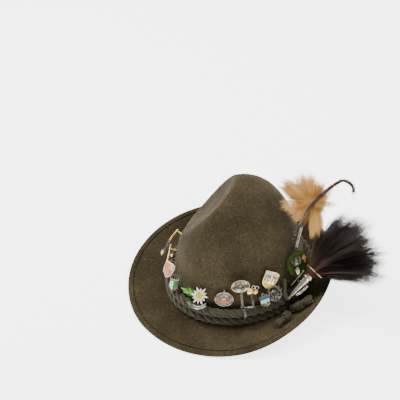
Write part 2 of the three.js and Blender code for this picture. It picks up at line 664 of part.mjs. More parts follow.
function rightPins() {
  const field = plate(sized(CREST_FIELD, CREST_HALF_WIDTH), 0.6 * PLATE, 0.85 * PLATE);
  add("silver_crest", "silver",
    fused(plate(sized(CREST, CREST_HALF_WIDTH), PLATE), field, post(places.crest)), places.crest);
  const w = RED_SHIELD_HALF_WIDTH;
  const emblem = new THREE.TorusGeometry(0.4 * w, 0.09 * w, 5, 10).translate(0, -0.13 * w, PLATE);
  const body = fused(tray(RED_SHIELD, w), emblem, post(places.redShield));
  add("red_shield", "redEnamel", body, places.redShield);
}

// The charm's chain below its pin
const CHAIN = [
  { turn: -50.2, above: 4.94, stand: 0.9 },
  { turn: -48.4, above: 4.11, stand: 1.1 },
  { turn: -47.2, above: 3.6, stand: 1.3 },
];

// A rod held off the felt by two posts, with a ball beside it and a charm hanging from a chain
function rodBrooch() {
  const at = (frame, out = 0) => vec(0, 0, out).applyMatrix4(frame);
  const standing = (frame) => post(frame).applyMatrix4(frame);
  const top = at(places.rodTop);
  const along = at(places.rodFoot).sub(top);
  const ends = [-0.3, 1.22].map((share) => top.clone().addScaledVector(along, share));
  const r = ROD_DIAMETER / 2;
  const seat = at(places.rodFoot, -5.6 * r).add(at(places.rodTop, -5.6 * r)).multiplyScalar(0.5);
  const arm = bar(top.clone().addScaledVector(along, 0.5), seat, 0.9 * r, 0.9 * r, 6);
  add("brooch_rod", "gold", fused(bar(...ends, r, r, 6), standing(places.rodTop), standing(places.rodFoot),
    arm, lump(seat, 2.7 * r, 2.7 * r, 2.7 * r, 8)));
  const start = at(places.chainTop);
  const chain = [start, ...CHAIN.map((place) => offWall(place).point)];
  const plug = lump(start, 1.4 * WIRE, 1.4 * WIRE, 1.4 * WIRE, 6);
  add("charm_chain", "gold", fused(tube(chain, WIRE * 1.3, 5, 2), plug, standing(places.chainTop)));
  const hanging = chain[3].clone().sub(chain[2]).normalize();
  const drop = chain[3].clone().addScaledVector(hanging, GAP);
  const tip = drop.clone().addScaledVector(hanging, DROP_LENGTH);
  add("charm_drop", "ivory", bar(drop, tip, 0.15 * DROP_LENGTH, 0.275 * DROP_LENGTH, 7));
}

edelweiss();
ovalBadge();
hornDish();
hornCords();
castleShield();
leftPins();
rightPins();
rodBrooch();

// Rosette on the wearer's left: a moss-green pad with metal on its face

// The frame of a piece that faces a turn and rises from level
function facing(point, turn, rise) {
  const level = vec(Math.sin(turn * DEGREE), -Math.cos(turn * DEGREE));
  const out = level.clone().multiplyScalar(Math.cos(rise * DEGREE)).add(vec(0, 0, Math.sin(rise * DEGREE)));
  const right = vec(0, 0, 1).cross(out).normalize();
  return new THREE.Matrix4().makeBasis(right, out.clone().cross(right), out).setPosition(point);
}

// The pad's outline, radius and height, and the cross's, as shares of ROSETTE_HALF_WIDTH
const PAD = [[0, 0], [0.88, 0], [1, 0.16], [0.85, 0.34], [0, 0.42]];
const CROSS = [[0.4, 0.58], [0.4, 0.44], [0.3, 0.44], [0.3, 0.28], [0.4, 0.28], [0.4, 0], [0.54, 0],
  [0.54, 0.28], [0.64, 0.28], [0.64, 0.44], [0.54, 0.44], [0.54, 0.58]];
const ANTLER = [[0.06, 0.12], [0.26, 0.18], [0.34, 0.44], [0.2, 0.7]];
const ANTLER_MIDDLE = -0.22;

function rosette() {
  const w = ROSETTE_HALF_WIDTH;
  const frame = facing(offWall({ turn: 102.7, above: 4.3, stand: 0.62 }).point, 75, 30);
  const thickness = 0.42 * w;
  add("rosette_pad", "moss", fused(lathe(PAD, w, 16), post(frame)), frame);
  const above = thickness + GAP + WIRE;
  const antler = (side) => tube(sized(ANTLER, w).map(([x, y]) => vec(ANTLER_MIDDLE * w + side * x, y, above)),
    WIRE * 1.4, 5, 2);
  const brow = (x) => vec((ANTLER_MIDDLE + x) * w, 0.12 * w, above);
  const head = bar(brow(-0.08), brow(0.08), WIRE * 1.1, WIRE * 1.1, 6);
  add("rosette_antlers", "silver", fused(antler(1), antler(-1), head), frame);
  add("rosette_cross", "gold", plate(sized(CROSS, w), PLATE, thickness + GAP), frame);
  const t = TOOTH_LENGTH;
  const root = vec(-0.36 * w, -0.17 * w, thickness + 0.32 * t);
  add("rosette_tooth", "ivory", fused(lump(root, 0.49 * t, 0.31 * t, 0.31 * t, 7),
    bar(root, root.clone().add(vec(-0.1 * t, -1.25 * t, -0.1 * t)), 0.31 * t, 0.09 * t, 7)), frame);
}
rosette();

// Brush and tuft, in a frame that faces up and to the front left: x right, y up, z towards the viewer

function plumeFrame(point) {
  return facing(point, 42, 42);
}

// Locks of the brush: angle and length from the mouth of the cone, the length as a share of BRUSH_LENGTH,
// and how far they lean to the viewer. Each sets out steeper than it ends by the droop.
const BRUSH_LOCKS = [
  { angle: 62.4, length: 0.96, lean: 4 },
  { angle: 54.8, length: 1.07, lean: -14 },
  { angle: 49.7, length: 1.07, lean: 18 },
  { angle: 41, length: 1.13, lean: 2 },
  { angle: 31.3, length: 1.07, lean: -20 },
  { angle: 23.4, length: 1.12, lean: 16 },
  { angle: 15.9, length: 1.13, lean: -4 },
  { angle: 10.9, length: 1.1, lean: 14 },
  { angle: 4.8, length: 1.04, lean: -10 },
  { angle: -3.3, length: 1.06, lean: 9 },
  { angle: -6.3, length: 1.02, lean: -3 },
];
const BRUSH_AXIS = 47.5;
const BRUSH_DROOP = 18;

// The holder's bars: their ends along the cone and beside it, as shares of CONE_LENGTH, and their radius
const CLIP = { from: 0.29, to: 0.74, x: 0.1, y: -0.1, z: 0.05, radius: 0.024 };
const NEEDLE = { from: 0.38, to: 0.98, x: -0.15, y: 0.16, z: 0, radius: 0.021 };
const ARMS = [
  { at: 0.33, x: 0.083, y: -0.083, z: 0.048 },
  { at: 0.64, x: -0.148, y: 0.162, z: 0 },
  { at: 0.69, x: 0.119, y: -0.119, z: 0.048 },
];

function brush() {
  const mouth = CONE_LENGTH;
  const frame = plumeFrame(overBand(BRUSH_TURN, 32, CORD_DIAMETER / 2 + GAP + 0.04 * mouth));
  const way = vec(Math.cos(BRUSH_AXIS * DEGREE), Math.sin(BRUSH_AXIS * DEGREE));
  const along = (share, x = 0, y = 0, z = 0) =>
    way.clone().multiplyScalar(share).add(vec(x, y, z)).multiplyScalar(mouth);
  const beside = ({ from, to, x, y, z, radius }) => bar(along(from, x, y, z), along(to, x, y, z),
    radius * mouth, radius * mouth, 5);
  const arms = ARMS.map(({ at, x, y, z }) =>
    bar(along(at), along(at, x, y, z), 0.024 * mouth, 0.024 * mouth, 5));
  const cone = bar(along(0), along(0.93), 0.04 * mouth, 0.133 * mouth, 10);
  const lip = bar(along(0.905), along(1), 0.148 * mouth, 0.148 * mouth, 10);
  add("brush_holder", "silver", fused(cone, lip, beside(CLIP), beside(NEEDLE), ...arms), frame);
  const turned = new THREE.Quaternion().setFromUnitVectors(vec(0, 0, 1), way);
  const hoop = new THREE.TorusGeometry(HOOP_RADIUS, WIRE / 2, 4, 14).applyQuaternion(turned);
  add("brush_hoop", "silver", hoop.translate(...along(1.21, 0.01, -0.02, 0.08).toArray()), frame);
  const start = along(1).addScaledVector(way, GAP);
  const head = bar(start, along(1.38), 0.12 * mouth, 0.24 * mouth, 10);
  const locks = BRUSH_LOCKS.map(({ angle, length, lean }) => {
    const aim = (at) => vec(Math.cos(at * DEGREE), Math.sin(at * DEGREE), Math.tan(lean * DEGREE))
      .multiplyScalar(BRUSH_LENGTH);
    return lock(along(1.21).addScaledVector(aim(angle), 0.01),
      along(1).addScaledVector(aim(angle + BRUSH_DROOP), length * 0.5),
      along(1).addScaledVector(aim(angle), length), 0.038 * BRUSH_LENGTH, 0.095 * BRUSH_LENGTH);
  });
  add("brush_hair", "darkHair", fused(head, ...locks), frame);
}
brush();

// Lobes of the tuft as shares of TUFT_REACH: where each ends from the tuft's middle, and its half width
const TUFT_LOBES = [
  { x: -1.14, y: 0.66, z: 0, wide: 0.13 },
  { x: -0.92, y: 0.46, z: 0.08, wide: 0.2 },
  { x: -0.87, y: 0.8, z: -0.06, wide: 0.2 },
  { x: -0.52, y: 1.07, z: 0.1, wide: 0.22 },
  { x: -0.06, y: 0.98, z: -0.08, wide: 0.22 },
  { x: 0.31, y: 0.71, z: 0.15, wide: 0.22 },
  { x: 0.55, y: 0.25, z: 0, wide: 0.2 },
  { x: -0.95, y: -0.06, z: 0.1, wide: 0.2 },
  { x: -0.6, y: -0.52, z: -0.05, wide: 0.2 },
  { x: -0.05, y: -1, z: 0.04, wide: 0.17 },
  { x: 0.2, y: -0.95, z: -0.08, wide: 0.17 },
];

// The top of the tuft's tube and the tuft's middle, as shares of TUFT_REACH
const TUBE_TOP = vec(0.18, 0.77, 0.2);
const TUFT_MIDDLE = vec(0.54, 1.39, 0.42);

// The hooked quill: points from the top of the tuft's tube, in front of the tuft, as shares of QUILL_REACH
const QUILL = [[-0.014, -0.057, 0.09], [0.027, 0.107, 0.22], [0.1, 0.235, 0.42], [0.24, 0.41, 0.52],
  [0.35, 0.515, 0.46], [0.47, 0.62, 0.32], [0.61, 0.726, 0.21], [0.75, 0.796, 0.17], [0.85, 0.775, 0.15],
  [0.945, 0.69, 0.14], [0.96, 0.585, 0.14]];

function tuft() {
  const reach = TUFT_REACH;
  const radius = TUBE_DIAMETER / 2;
  const frame = plumeFrame(offWall({ turn: 109.7, above: 5.67, stand: 0.3 }).point);
  const top = TUBE_TOP.clone().multiplyScalar(reach);
  const middle = TUFT_MIDDLE.clone().multiplyScalar(reach);
  const foot = lump(vec(0, 0, 0), 1.15 * radius, 1.15 * radius, 1.15 * radius, 6);
  add("tuft_tube", "silver", fused(bar(vec(0, 0, 0), top, radius, radius, 8), foot, post(frame)), frame);
  const locks = TUFT_LOBES.map(({ x, y, z, wide }) => {
    const way = vec(x, y, z).multiplyScalar(reach);
    const belly = vec(x * 0.5, y * 0.5, z + 0.05).multiplyScalar(reach);
    return lock(middle.clone().addScaledVector(way, 0.1), middle.clone().add(belly), middle.clone().add(way),
      0.1 * reach, wide * reach, 5);
  });
  const quill = sized(QUILL, QUILL_REACH).map(([x, y, z]) => top.clone().add(vec(x, y, z)));
  add("quill", "quill", tube(quill, QUILL_DIAMETER, 6, 2), frame);
  const neck = bar(top.clone().lerp(middle, 0.055), middle, 0.06 * reach, 0.175 * reach, 8);
  add("tuft_hair", "tanHair",
    fused(neck, lump(middle, 0.3 * reach, 0.3 * reach, 0.2 * reach, 7), ...locks), frame);
}
tuft();

// The origin lies on the surface under the middle of the whole hat
const whole = new THREE.Box3().setFromObject(group, true);
const centre = whole.getCenter(vec(0, 0));
group.position.set(-centre.x, -centre.y, 0);

export default group;
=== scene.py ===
"""A Tyrolean felt hat with cord band, pins, rosette, dark hair brush and tan tuft.

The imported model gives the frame. Lengths here are millimetres round the axis of the crown's foot,
and a turn is an angle in degrees from the front of the hat towards the wearer's left.
"""
from __future__ import annotations

import logging
import math
from dataclasses import dataclass, field
from enum import Enum
from typing import Callable, Sequence, Union

import bpy
import numpy as np
from mathutils import Matrix, Vector, noise

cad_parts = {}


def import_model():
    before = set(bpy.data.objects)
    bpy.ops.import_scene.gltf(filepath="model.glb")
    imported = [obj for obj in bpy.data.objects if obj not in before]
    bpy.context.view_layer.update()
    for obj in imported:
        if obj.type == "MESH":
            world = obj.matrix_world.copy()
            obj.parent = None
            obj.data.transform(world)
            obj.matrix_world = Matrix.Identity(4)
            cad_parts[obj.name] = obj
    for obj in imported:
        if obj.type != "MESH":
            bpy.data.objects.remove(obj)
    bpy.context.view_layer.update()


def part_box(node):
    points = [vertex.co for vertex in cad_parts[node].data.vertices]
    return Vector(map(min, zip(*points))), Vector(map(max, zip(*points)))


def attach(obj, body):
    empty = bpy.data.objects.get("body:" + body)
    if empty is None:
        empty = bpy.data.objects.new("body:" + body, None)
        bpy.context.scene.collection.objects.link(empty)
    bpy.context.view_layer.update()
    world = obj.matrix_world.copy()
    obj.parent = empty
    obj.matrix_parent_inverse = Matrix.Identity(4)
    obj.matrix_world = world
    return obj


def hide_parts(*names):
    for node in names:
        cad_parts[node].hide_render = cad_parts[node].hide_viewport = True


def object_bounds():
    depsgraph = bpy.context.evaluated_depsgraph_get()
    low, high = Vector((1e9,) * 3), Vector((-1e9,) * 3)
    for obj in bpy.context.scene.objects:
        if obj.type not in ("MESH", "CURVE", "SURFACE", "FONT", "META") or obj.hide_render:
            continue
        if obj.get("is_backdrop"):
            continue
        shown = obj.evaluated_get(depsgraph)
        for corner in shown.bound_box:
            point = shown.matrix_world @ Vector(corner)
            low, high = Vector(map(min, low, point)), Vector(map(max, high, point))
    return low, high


MM = 0.001
log = logging.getLogger("hat")

Points = np.ndarray
Color = tuple[float, float, float]
Spot = tuple[float, float, float]
Outline = tuple[tuple[float, float], ...]

TOOTH_SHARES = (0, 0.3, 0.7, 1)
ATTRIBUTES = ("along", "tone", "ridge", "edge")
ALWAYS_KEPT = ("along", "tone")
SHARP_ANGLE = 42.0


class Signal:
    """One output socket of a node, usable in arithmetic."""

    def __init__(self, board: "Board", socket: bpy.types.NodeSocket) -> None:
        """Keeps the socket and the board that new nodes go on."""
        self.board = board
        self.socket = socket

    def _math(self, operation: str, first: "Value", second: "Value") -> "Signal":
        """Adds a Math node for one operation."""
        made = self.board.node("ShaderNodeMath", {"operation": operation}, {0: first, 1: second})
        return Signal(self.board, made.outputs[0])

    def __add__(self, other: "Value") -> "Signal":
        """Sum."""
        return self._math("ADD", self, other)

    def __radd__(self, other: "Value") -> "Signal":
        """Sum, reflected."""
        return self._math("ADD", other, self)

    def __sub__(self, other: "Value") -> "Signal":
        """Difference."""
        return self._math("SUBTRACT", self, other)

    def __rsub__(self, other: "Value") -> "Signal":
        """Difference, reflected."""
        return self._math("SUBTRACT", other, self)

    def __mul__(self, other: "Value") -> "Signal":
        """Product."""
        return self._math("MULTIPLY", self, other)

    def __rmul__(self, other: "Value") -> "Signal":
        """Product, reflected."""
        return self._math("MULTIPLY", other, self)

    def above(self, low: float, high: float) -> "Signal":
        """Rises smoothly from 0 at low to 1 at high."""
        made = self.board.node("ShaderNodeMapRange", {"interpolation_type": "SMOOTHSTEP"},
                               {"Value": self, "From Min": low, "From Max": high})
        return Signal(self.board, made.outputs["Result"])


Value = Union[float, Signal]
Paint = Union[Color, Signal]


class Board:
    """The node tree of one material."""

    def __init__(self, name: str) -> None:
        """Makes an empty material with a Principled shader.

        Args:
            name: the material's name.
        """
        self.material = bpy.data.materials.new(name)
        self.material.use_nodes = True
        self.tree = self.material.node_tree
        self.tree.nodes.clear()
        self.shader = self.tree.nodes.new("ShaderNodeBsdfPrincipled")
        output = self.tree.nodes.new("ShaderNodeOutputMaterial")
        self.tree.links.new(self.shader.outputs[0], output.inputs["Surface"])

    def node(self, kind: str, settings: dict[str, object],
             inputs: dict[Union[str, int], object]) -> bpy.types.Node:
        """Adds a node.

        Args:
            kind: the node's type.
            settings: its properties, set first.
            inputs: values or signals of its input sockets.

        Returns:
            The node.
        """
        made = self.tree.nodes.new(kind)
        for name, value in settings.items():
            setattr(made, name, value)
        for key, value in inputs.items():
            self.feed(made.inputs[key], value)
        return made

    def feed(self, socket: bpy.types.NodeSocket, value: object) -> None:
        """Links a signal to a socket, or sets a constant on it."""
        if isinstance(value, Signal):
            self.tree.links.new(value.socket, socket)
        elif isinstance(value, tuple) and len(value) == 3 and socket.type == "RGBA":
            socket.default_value = (*value, 1.0)
        else:
            socket.default_value = value

    def place(self) -> Signal:
        """The place on the object, in metres."""
        return Signal(self, self.node("ShaderNodeTexCoord", {}, {}).outputs["Object"])

    def stretched(self, scale: Color) -> Signal:
        """The place with each axis scaled."""
        made = self.node("ShaderNodeVectorMath", {"operation": "MULTIPLY"}, {0: self.place(), 1: scale})
        return Signal(self, made.outputs[0])

    def cloud(self, scale: float, detail: float = 3.0, vector: Signal | None = None,
              warp: float = 0.0) -> Signal:
        """Noise between 0 and 1.

        Args:
            scale: features per metre.
            detail: octaves.
            vector: where it is read, or the plain place.
            warp: how far it is twisted.

        Returns:
            The noise.
        """
        made = self.node("ShaderNodeTexNoise", {}, {"Vector": vector or self.place(), "Scale": scale,
                                                    "Detail": detail, "Distortion": warp})
        return Signal(self, made.outputs["Fac"])

    def read(self, name: str) -> Signal:
        """A named attribute of the mesh."""
        return Signal(self, self.node("ShaderNodeAttribute", {"attribute_name": name}, {}).outputs["Fac"])

    def mix(self, share: Value, first: Paint, second: Paint) -> Signal:
        """Blends two colours."""
        made = self.node("ShaderNodeMix", {"data_type": "RGBA"}, {0: share, 6: first, 7: second})
        return Signal(self, made.outputs[2])

    def ramp(self, share: Signal, stops: Sequence[tuple[float, Color]]) -> Signal:
        """A colour ramp.

        Args:
            share: where the ramp is read.
            stops: place and colour of each stop.

        Returns:
            The colour.
        """
        made = self.node("ShaderNodeValToRGB", {}, {0: share})
        elements = made.color_ramp.elements
        while len(elements) < len(stops):
            elements.new(0.5)
        for element, (at, color) in zip(elements, stops):
            element.position = at
            element.color = (*color, 1.0)
        return Signal(self, made.outputs["Color"])

    def relief(self, height: Signal, strength: float, distance: float) -> Signal:
        """A bumped normal."""
        made = self.node("ShaderNodeBump", {}, {"Height": height, "Strength": strength, "Distance": distance})
        return Signal(self, made.outputs["Normal"])

    def finish(self, **sockets: object) -> bpy.types.Material:
        """Sets the shader's sockets, named with underscores for blanks, and gives the material."""
        for name, value in sockets.items():
            self.feed(self.shader.inputs[name.replace("_", " ").title().replace("Ior", "IOR")], value)
        return self.material


@dataclass(frozen=True)
class Felt:
    """Thick, fuzzy, mottled wool felt with a little dust, and painted shade in the brim's groove."""

    # The deep colour darkens random tufts and is also the painted shade in the brim's groove.
    deep_and_groove_shade: Color = (0.0105, 0.0084, 0.0040)
    plain: Color = (0.034, 0.0262, 0.0122)
    worn: Color = (0.066, 0.0525, 0.0255)
    dust: Color = (0.17, 0.15, 0.105)

    def material(self) -> bpy.types.Material:
        """The felt's material."""
        board = Board("felt")
        patches = board.cloud(22.0, 4.0)
        tufts = board.cloud(430.0, 5.0, warp=1.2)
        fibres = board.cloud(1500.0, 3.0, warp=2.0)
        color = board.mix(patches.above(0.35, 0.68), self.plain, self.worn)
        color = board.mix(tufts.above(0.62, 0.34) * 0.62, color, self.deep_and_groove_shade)
        color = board.mix(fibres.above(0.45, 0.75) * 0.35, color, self.worn)
        specks = board.cloud(620.0, 2.0).above(0.69, 0.74) * board.cloud(35.0, 2.0).above(0.42, 0.6)
        color = board.mix(specks * 0.55, color, self.dust)
        # Painted shade: the edge attribute darkens the felt towards the deep colour in the welt's groove, a
        # little on the cut rim and faintly underneath.
        edge = board.read("edge")
        color = board.mix(edge * 0.45, color, self.deep_and_groove_shade)
        normal = board.relief(tufts * 0.7 + fibres * 0.5, 0.7, 0.0011)
        return board.finish(base_color=color, roughness=0.93, normal=normal, sheen_weight=0.05,
                            sheen_roughness=0.5, sheen_tint=(0.85, 0.72, 0.5), specular_ior_level=0.12)


@dataclass(frozen=True)
class Yarn:
    """Twisted yarn with painted light on its ridges and painted shade in its grooves."""

    name: str
    # The groove colour is painted shade and the ridge colour painted light.
    groove: Color
    ridge: Color
    fleck: Color

    def material(self) -> bpy.types.Material:
        """The yarn's material."""
        board = Board(self.name)
        # Painted light and shade: the ridge attribute blends from the shaded groove colour to the lit ridge
        # colour.
        color = board.mix(board.read("ridge").above(0.1, 0.95), self.groove, self.ridge)
        color = board.mix(board.cloud(170.0, 3.0).above(0.45, 0.75) * 0.5, color, self.fleck)
        fuzz = board.cloud(2200.0, 3.0, warp=1.5)
        color = board.mix(fuzz.above(0.3, 0.6) * 0.4, color, self.ridge)
        return board.finish(base_color=color, roughness=0.85, normal=board.relief(fuzz, 0.4, 0.0005),
                            sheen_weight=0.25, sheen_roughness=0.5, specular_ior_level=0.2)


@dataclass(frozen=True)
class Metal:
    """Worn metal, darker where dirt stays."""

    name: str
    bright: Color
    dull: Color
    roughness: float = 0.3

    def material(self) -> bpy.types.Material:
        """The metal's material."""
        board = Board(self.name)
        tarnish = board.cloud(240.0, 4.0)
        scratch = board.cloud(900.0, 2.0, vector=board.stretched((1.0, 0.25, 1.0)))
        color = board.mix(tarnish.above(0.42, 0.72), self.bright, self.dull)
        rough = self.roughness + tarnish.above(0.35, 0.75) * 0.22 + scratch * 0.06
        return board.finish(base_color=color, metallic=1.0, roughness=rough,
                            normal=board.relief(scratch, 0.12, 0.0002))


@dataclass(frozen=True)
class Enamel:
    """Glossy enamel under a clear coat."""

    name: str
    plain: Color
    shade: Color
    roughness: float = 0.25

    def material(self) -> bpy.types.Material:
        """The enamel's material."""
        board = Board(self.name)
        flow = board.cloud(420.0, 3.0)
        color = board.mix(flow.above(0.4, 0.7), self.plain, self.shade)
        return board.finish(base_color=color, roughness=self.roughness + flow * 0.1, coat_weight=0.25,
                            coat_roughness=0.1, normal=board.relief(flow, 0.1, 0.0003))


@dataclass(frozen=True)
class Hair:
    """Hair that changes from its root to its tip."""

    name: str
    stops: tuple[tuple[float, Color], ...]
    light: Color
    roughness: float = 0.42

    def material(self) -> bpy.types.Material:
        """The hair's material."""
        board = Board(self.name)
        color = board.ramp(board.read("along"), self.stops)
        tone = board.read("tone")
        color = board.mix(tone.above(0.55, 1.0) * 0.5, color, self.light)
        color = board.mix(tone.above(0.5, 0.0) * 0.45, color, (0.0, 0.0, 0.0))
        return board.finish(base_color=color, roughness=self.roughness, specular_ior_level=0.22)


class Look(Enum):
    """Every finish of the hat, with the slot of the record that it stands for."""

    FELT = "felt"
    LINT = "lint"
    CORD = "cord"
    BRAID = "braid"
    SILVER = "silver"
    TUBE_SILVER = "tube_silver"
    GOLD = "gold"
    WHITE = "white_enamel"
    CREAM = "cream_enamel"
    YELLOW = "yellow_enamel"
    GREEN = "green_enamel"
    BLUE = "blue_enamel"
    RED = "red_enamel"
    ORANGE = "orange_enamel"
    DARK = "dark_enamel"
    MOSS = "moss"
    IVORY = "ivory"
    DARK_HAIR = "dark_hair"
    TAN_HAIR = "tan_hair"
    QUILL = "quill"


SLOTS: dict[Look, str] = {
    Look.LINT: "felt", Look.BRAID: "cord", Look.TUBE_SILVER: "silver", Look.CREAM: "white_enamel",
    Look.ORANGE: "red_enamel", Look.DARK: "blue_enamel",
}

FINISHES: dict[Look, object] = {
    Look.FELT: Felt(),
    Look.LINT: Hair("lint", ((0.0, (0.10, 0.085, 0.05)), (1.0, (0.21, 0.19, 0.14))), (0.46, 0.42, 0.33), 0.8),
    # Each yarn's first colour is painted groove shade and its second painted ridge light.
    Look.CORD: Yarn("cord", (0.0025, 0.0022, 0.0009), (0.060, 0.047, 0.020), (0.026, 0.027, 0.010)),
    Look.BRAID: Yarn("braid", (0.006, 0.006, 0.0015), (0.075, 0.070, 0.022), (0.020, 0.036, 0.008)),
    Look.SILVER: Metal("silver", (0.31, 0.28, 0.235), (0.035, 0.029, 0.022), 0.2),
    Look.TUBE_SILVER: Metal("tube_silver", (0.47, 0.42, 0.35), (0.12, 0.10, 0.075), 0.17),
    Look.GOLD: Metal("gold", (0.95, 0.66, 0.22), (0.42, 0.23, 0.06), 0.22),
    Look.WHITE: Enamel("white_enamel", (0.86, 0.84, 0.79), (0.66, 0.65, 0.60)),
    Look.CREAM: Enamel("cream_enamel", (0.62, 0.47, 0.20), (0.44, 0.31, 0.11)),
    Look.YELLOW: Enamel("yellow_enamel", (0.66, 0.56, 0.02), (0.46, 0.34, 0.01)),
    Look.GREEN: Enamel("green_enamel", (0.007, 0.20, 0.018), (0.004, 0.085, 0.008)),
    Look.BLUE: Enamel("blue_enamel", (0.010, 0.13, 0.20), (0.006, 0.06, 0.11)),
    Look.RED: Enamel("red_enamel", (0.44, 0.014, 0.007), (0.28, 0.008, 0.005)),
    Look.ORANGE: Enamel("orange_enamel", (0.60, 0.105, 0.025), (0.42, 0.06, 0.015)),
    Look.DARK: Enamel("dark_enamel", (0.018, 0.016, 0.018), (0.06, 0.045, 0.035), 0.35),
    Look.MOSS: Hair("moss", ((0.0, (0.006, 0.012, 0.001)), (1.0, (0.052, 0.085, 0.008))),
                    (0.13, 0.17, 0.025), 0.8),
    Look.IVORY: Enamel("ivory", (0.80, 0.70, 0.44), (0.50, 0.36, 0.16), 0.4),
    Look.DARK_HAIR: Hair("dark_hair", ((0.0, (0.12, 0.045, 0.018)), (0.2, (0.070, 0.026, 0.012)),
                                       (0.48, (0.012, 0.007, 0.0055)), (1.0, (0.007, 0.005, 0.0045))),
                         (0.085, 0.05, 0.032), 0.36),
    Look.TAN_HAIR: Hair("tan_hair", ((0.0, (0.10, 0.03, 0.010)), (0.16, (0.35, 0.150, 0.034)),
                                     (0.55, (0.64, 0.335, 0.082)), (1.0, (0.88, 0.54, 0.17))),
                                     (0.97, 0.70, 0.29)),
    # The quill's first colour is painted groove shade and its second painted ridge light.
    Look.QUILL: Yarn("quill", (0.012, 0.008, 0.006), (0.115, 0.078, 0.05), (0.05, 0.036, 0.026)),
}


def unit(vector: Points) -> Points:
    """Vectors of length one."""
    return vector / np.maximum(np.linalg.norm(vector, axis=-1, keepdims=True), 1e-12)


def smooth(value: Points, low: float, high: float) -> Points:
    """Rises smoothly from 0 at low to 1 at high."""
    share = np.clip((value - low) / (high - low), 0.0, 1.0)
    return share * share * (3 - 2 * share)


def curve(points: Sequence[Sequence[float]], step: float, closed: bool = False) -> Points:
    """A smooth path through points.

    Args:
        points: the points.
        step: distance between the path's points.
        closed: whether it ends where it starts.

    Returns:
        The path, evenly spaced.
    """
    given = np.asarray(points, float)
    if closed:
        padded = np.concatenate([given[-1:], given, given[:2]])
    else:
        padded = np.concatenate([2 * given[:1] - given[1:2], given, 2 * given[-1:] - given[-2:-1]])
    t = np.linspace(0, 1, 16, endpoint=False)[:, None]
    pieces = []
    for a, b, c, d in zip(padded, padded[1:], padded[2:], padded[3:]):
        pieces.append(0.5 * (2 * b + (c - a) * t + (2 * a - 5 * b + 4 * c - d) * t ** 2
                             + (3 * b - a - 3 * c + d) * t ** 3))
    path = np.concatenate(pieces)
    path = np.concatenate([path, given[:1] if closed else given[-1:]])
    run = np.concatenate([[0], np.cumsum(np.linalg.norm(np.diff(path, axis=0), axis=1))])
    count = max(int(round(run[-1] / step)), 2)
    at = np.linspace(0, run[-1], count + 1)
    return np.stack([np.interp(at, run, path[:, i]) for i in range(3)], axis=1)


def frames(path: Points, first: Points | None = None) -> tuple[Points, Points]:
    """Two directions across a path that turn as little as they can along it."""
    tangent = unit(np.gradient(path, axis=0))
    normal = np.zeros_like(path)
    start = first if first is not None else np.cross(tangent[0], [0.3, 0.2, 0.93])
    normal[0] = unit(start - tangent[0] * np.dot(start, tangent[0]))
    for i in range(1, len(path)):
        turned = normal[i - 1] - tangent[i] * np.dot(normal[i - 1], tangent[i])
        normal[i] = unit(turned)
    return normal, np.cross(tangent, normal)


def wheels(angle: Points, first: Points, second: Points, flat: float = 1.0) -> Points:
    """Circles of reach one across a path, as points of the path by angles."""
    return np.cos(angle)[:, None] * first[:, None] + flat * np.sin(angle)[:, None] * second[:, None]


@dataclass
class Place:
    """A frame: x to the right, y up and z out of the piece's face."""

    origin: Points
    axes: Points

    def at(self, points: Points | Sequence[Sequence[float]]) -> Points:
        """Points of this frame, in the hat's."""
        return self.origin + np.asarray(points, float) @ self.axes.T

    @staticmethod
    def facing(origin: Sequence[float], turn: float, rise: float) -> "Place":
        """A frame at a point that faces a turn and rises from level."""
        a, e = math.radians(turn), math.radians(rise)
        out = np.array([math.sin(a) * math.cos(e), -math.cos(a) * math.cos(e), math.sin(e)])
        right = unit(np.cross([0, 0, 1.0], out))
        return Place(np.asarray(origin, float), np.stack([right, np.cross(out, right), out], axis=1))

    def scaled(self, size: float) -> "Place":
        """The same frame with its lengths scaled."""
        return Place(self.origin, self.axes * size)


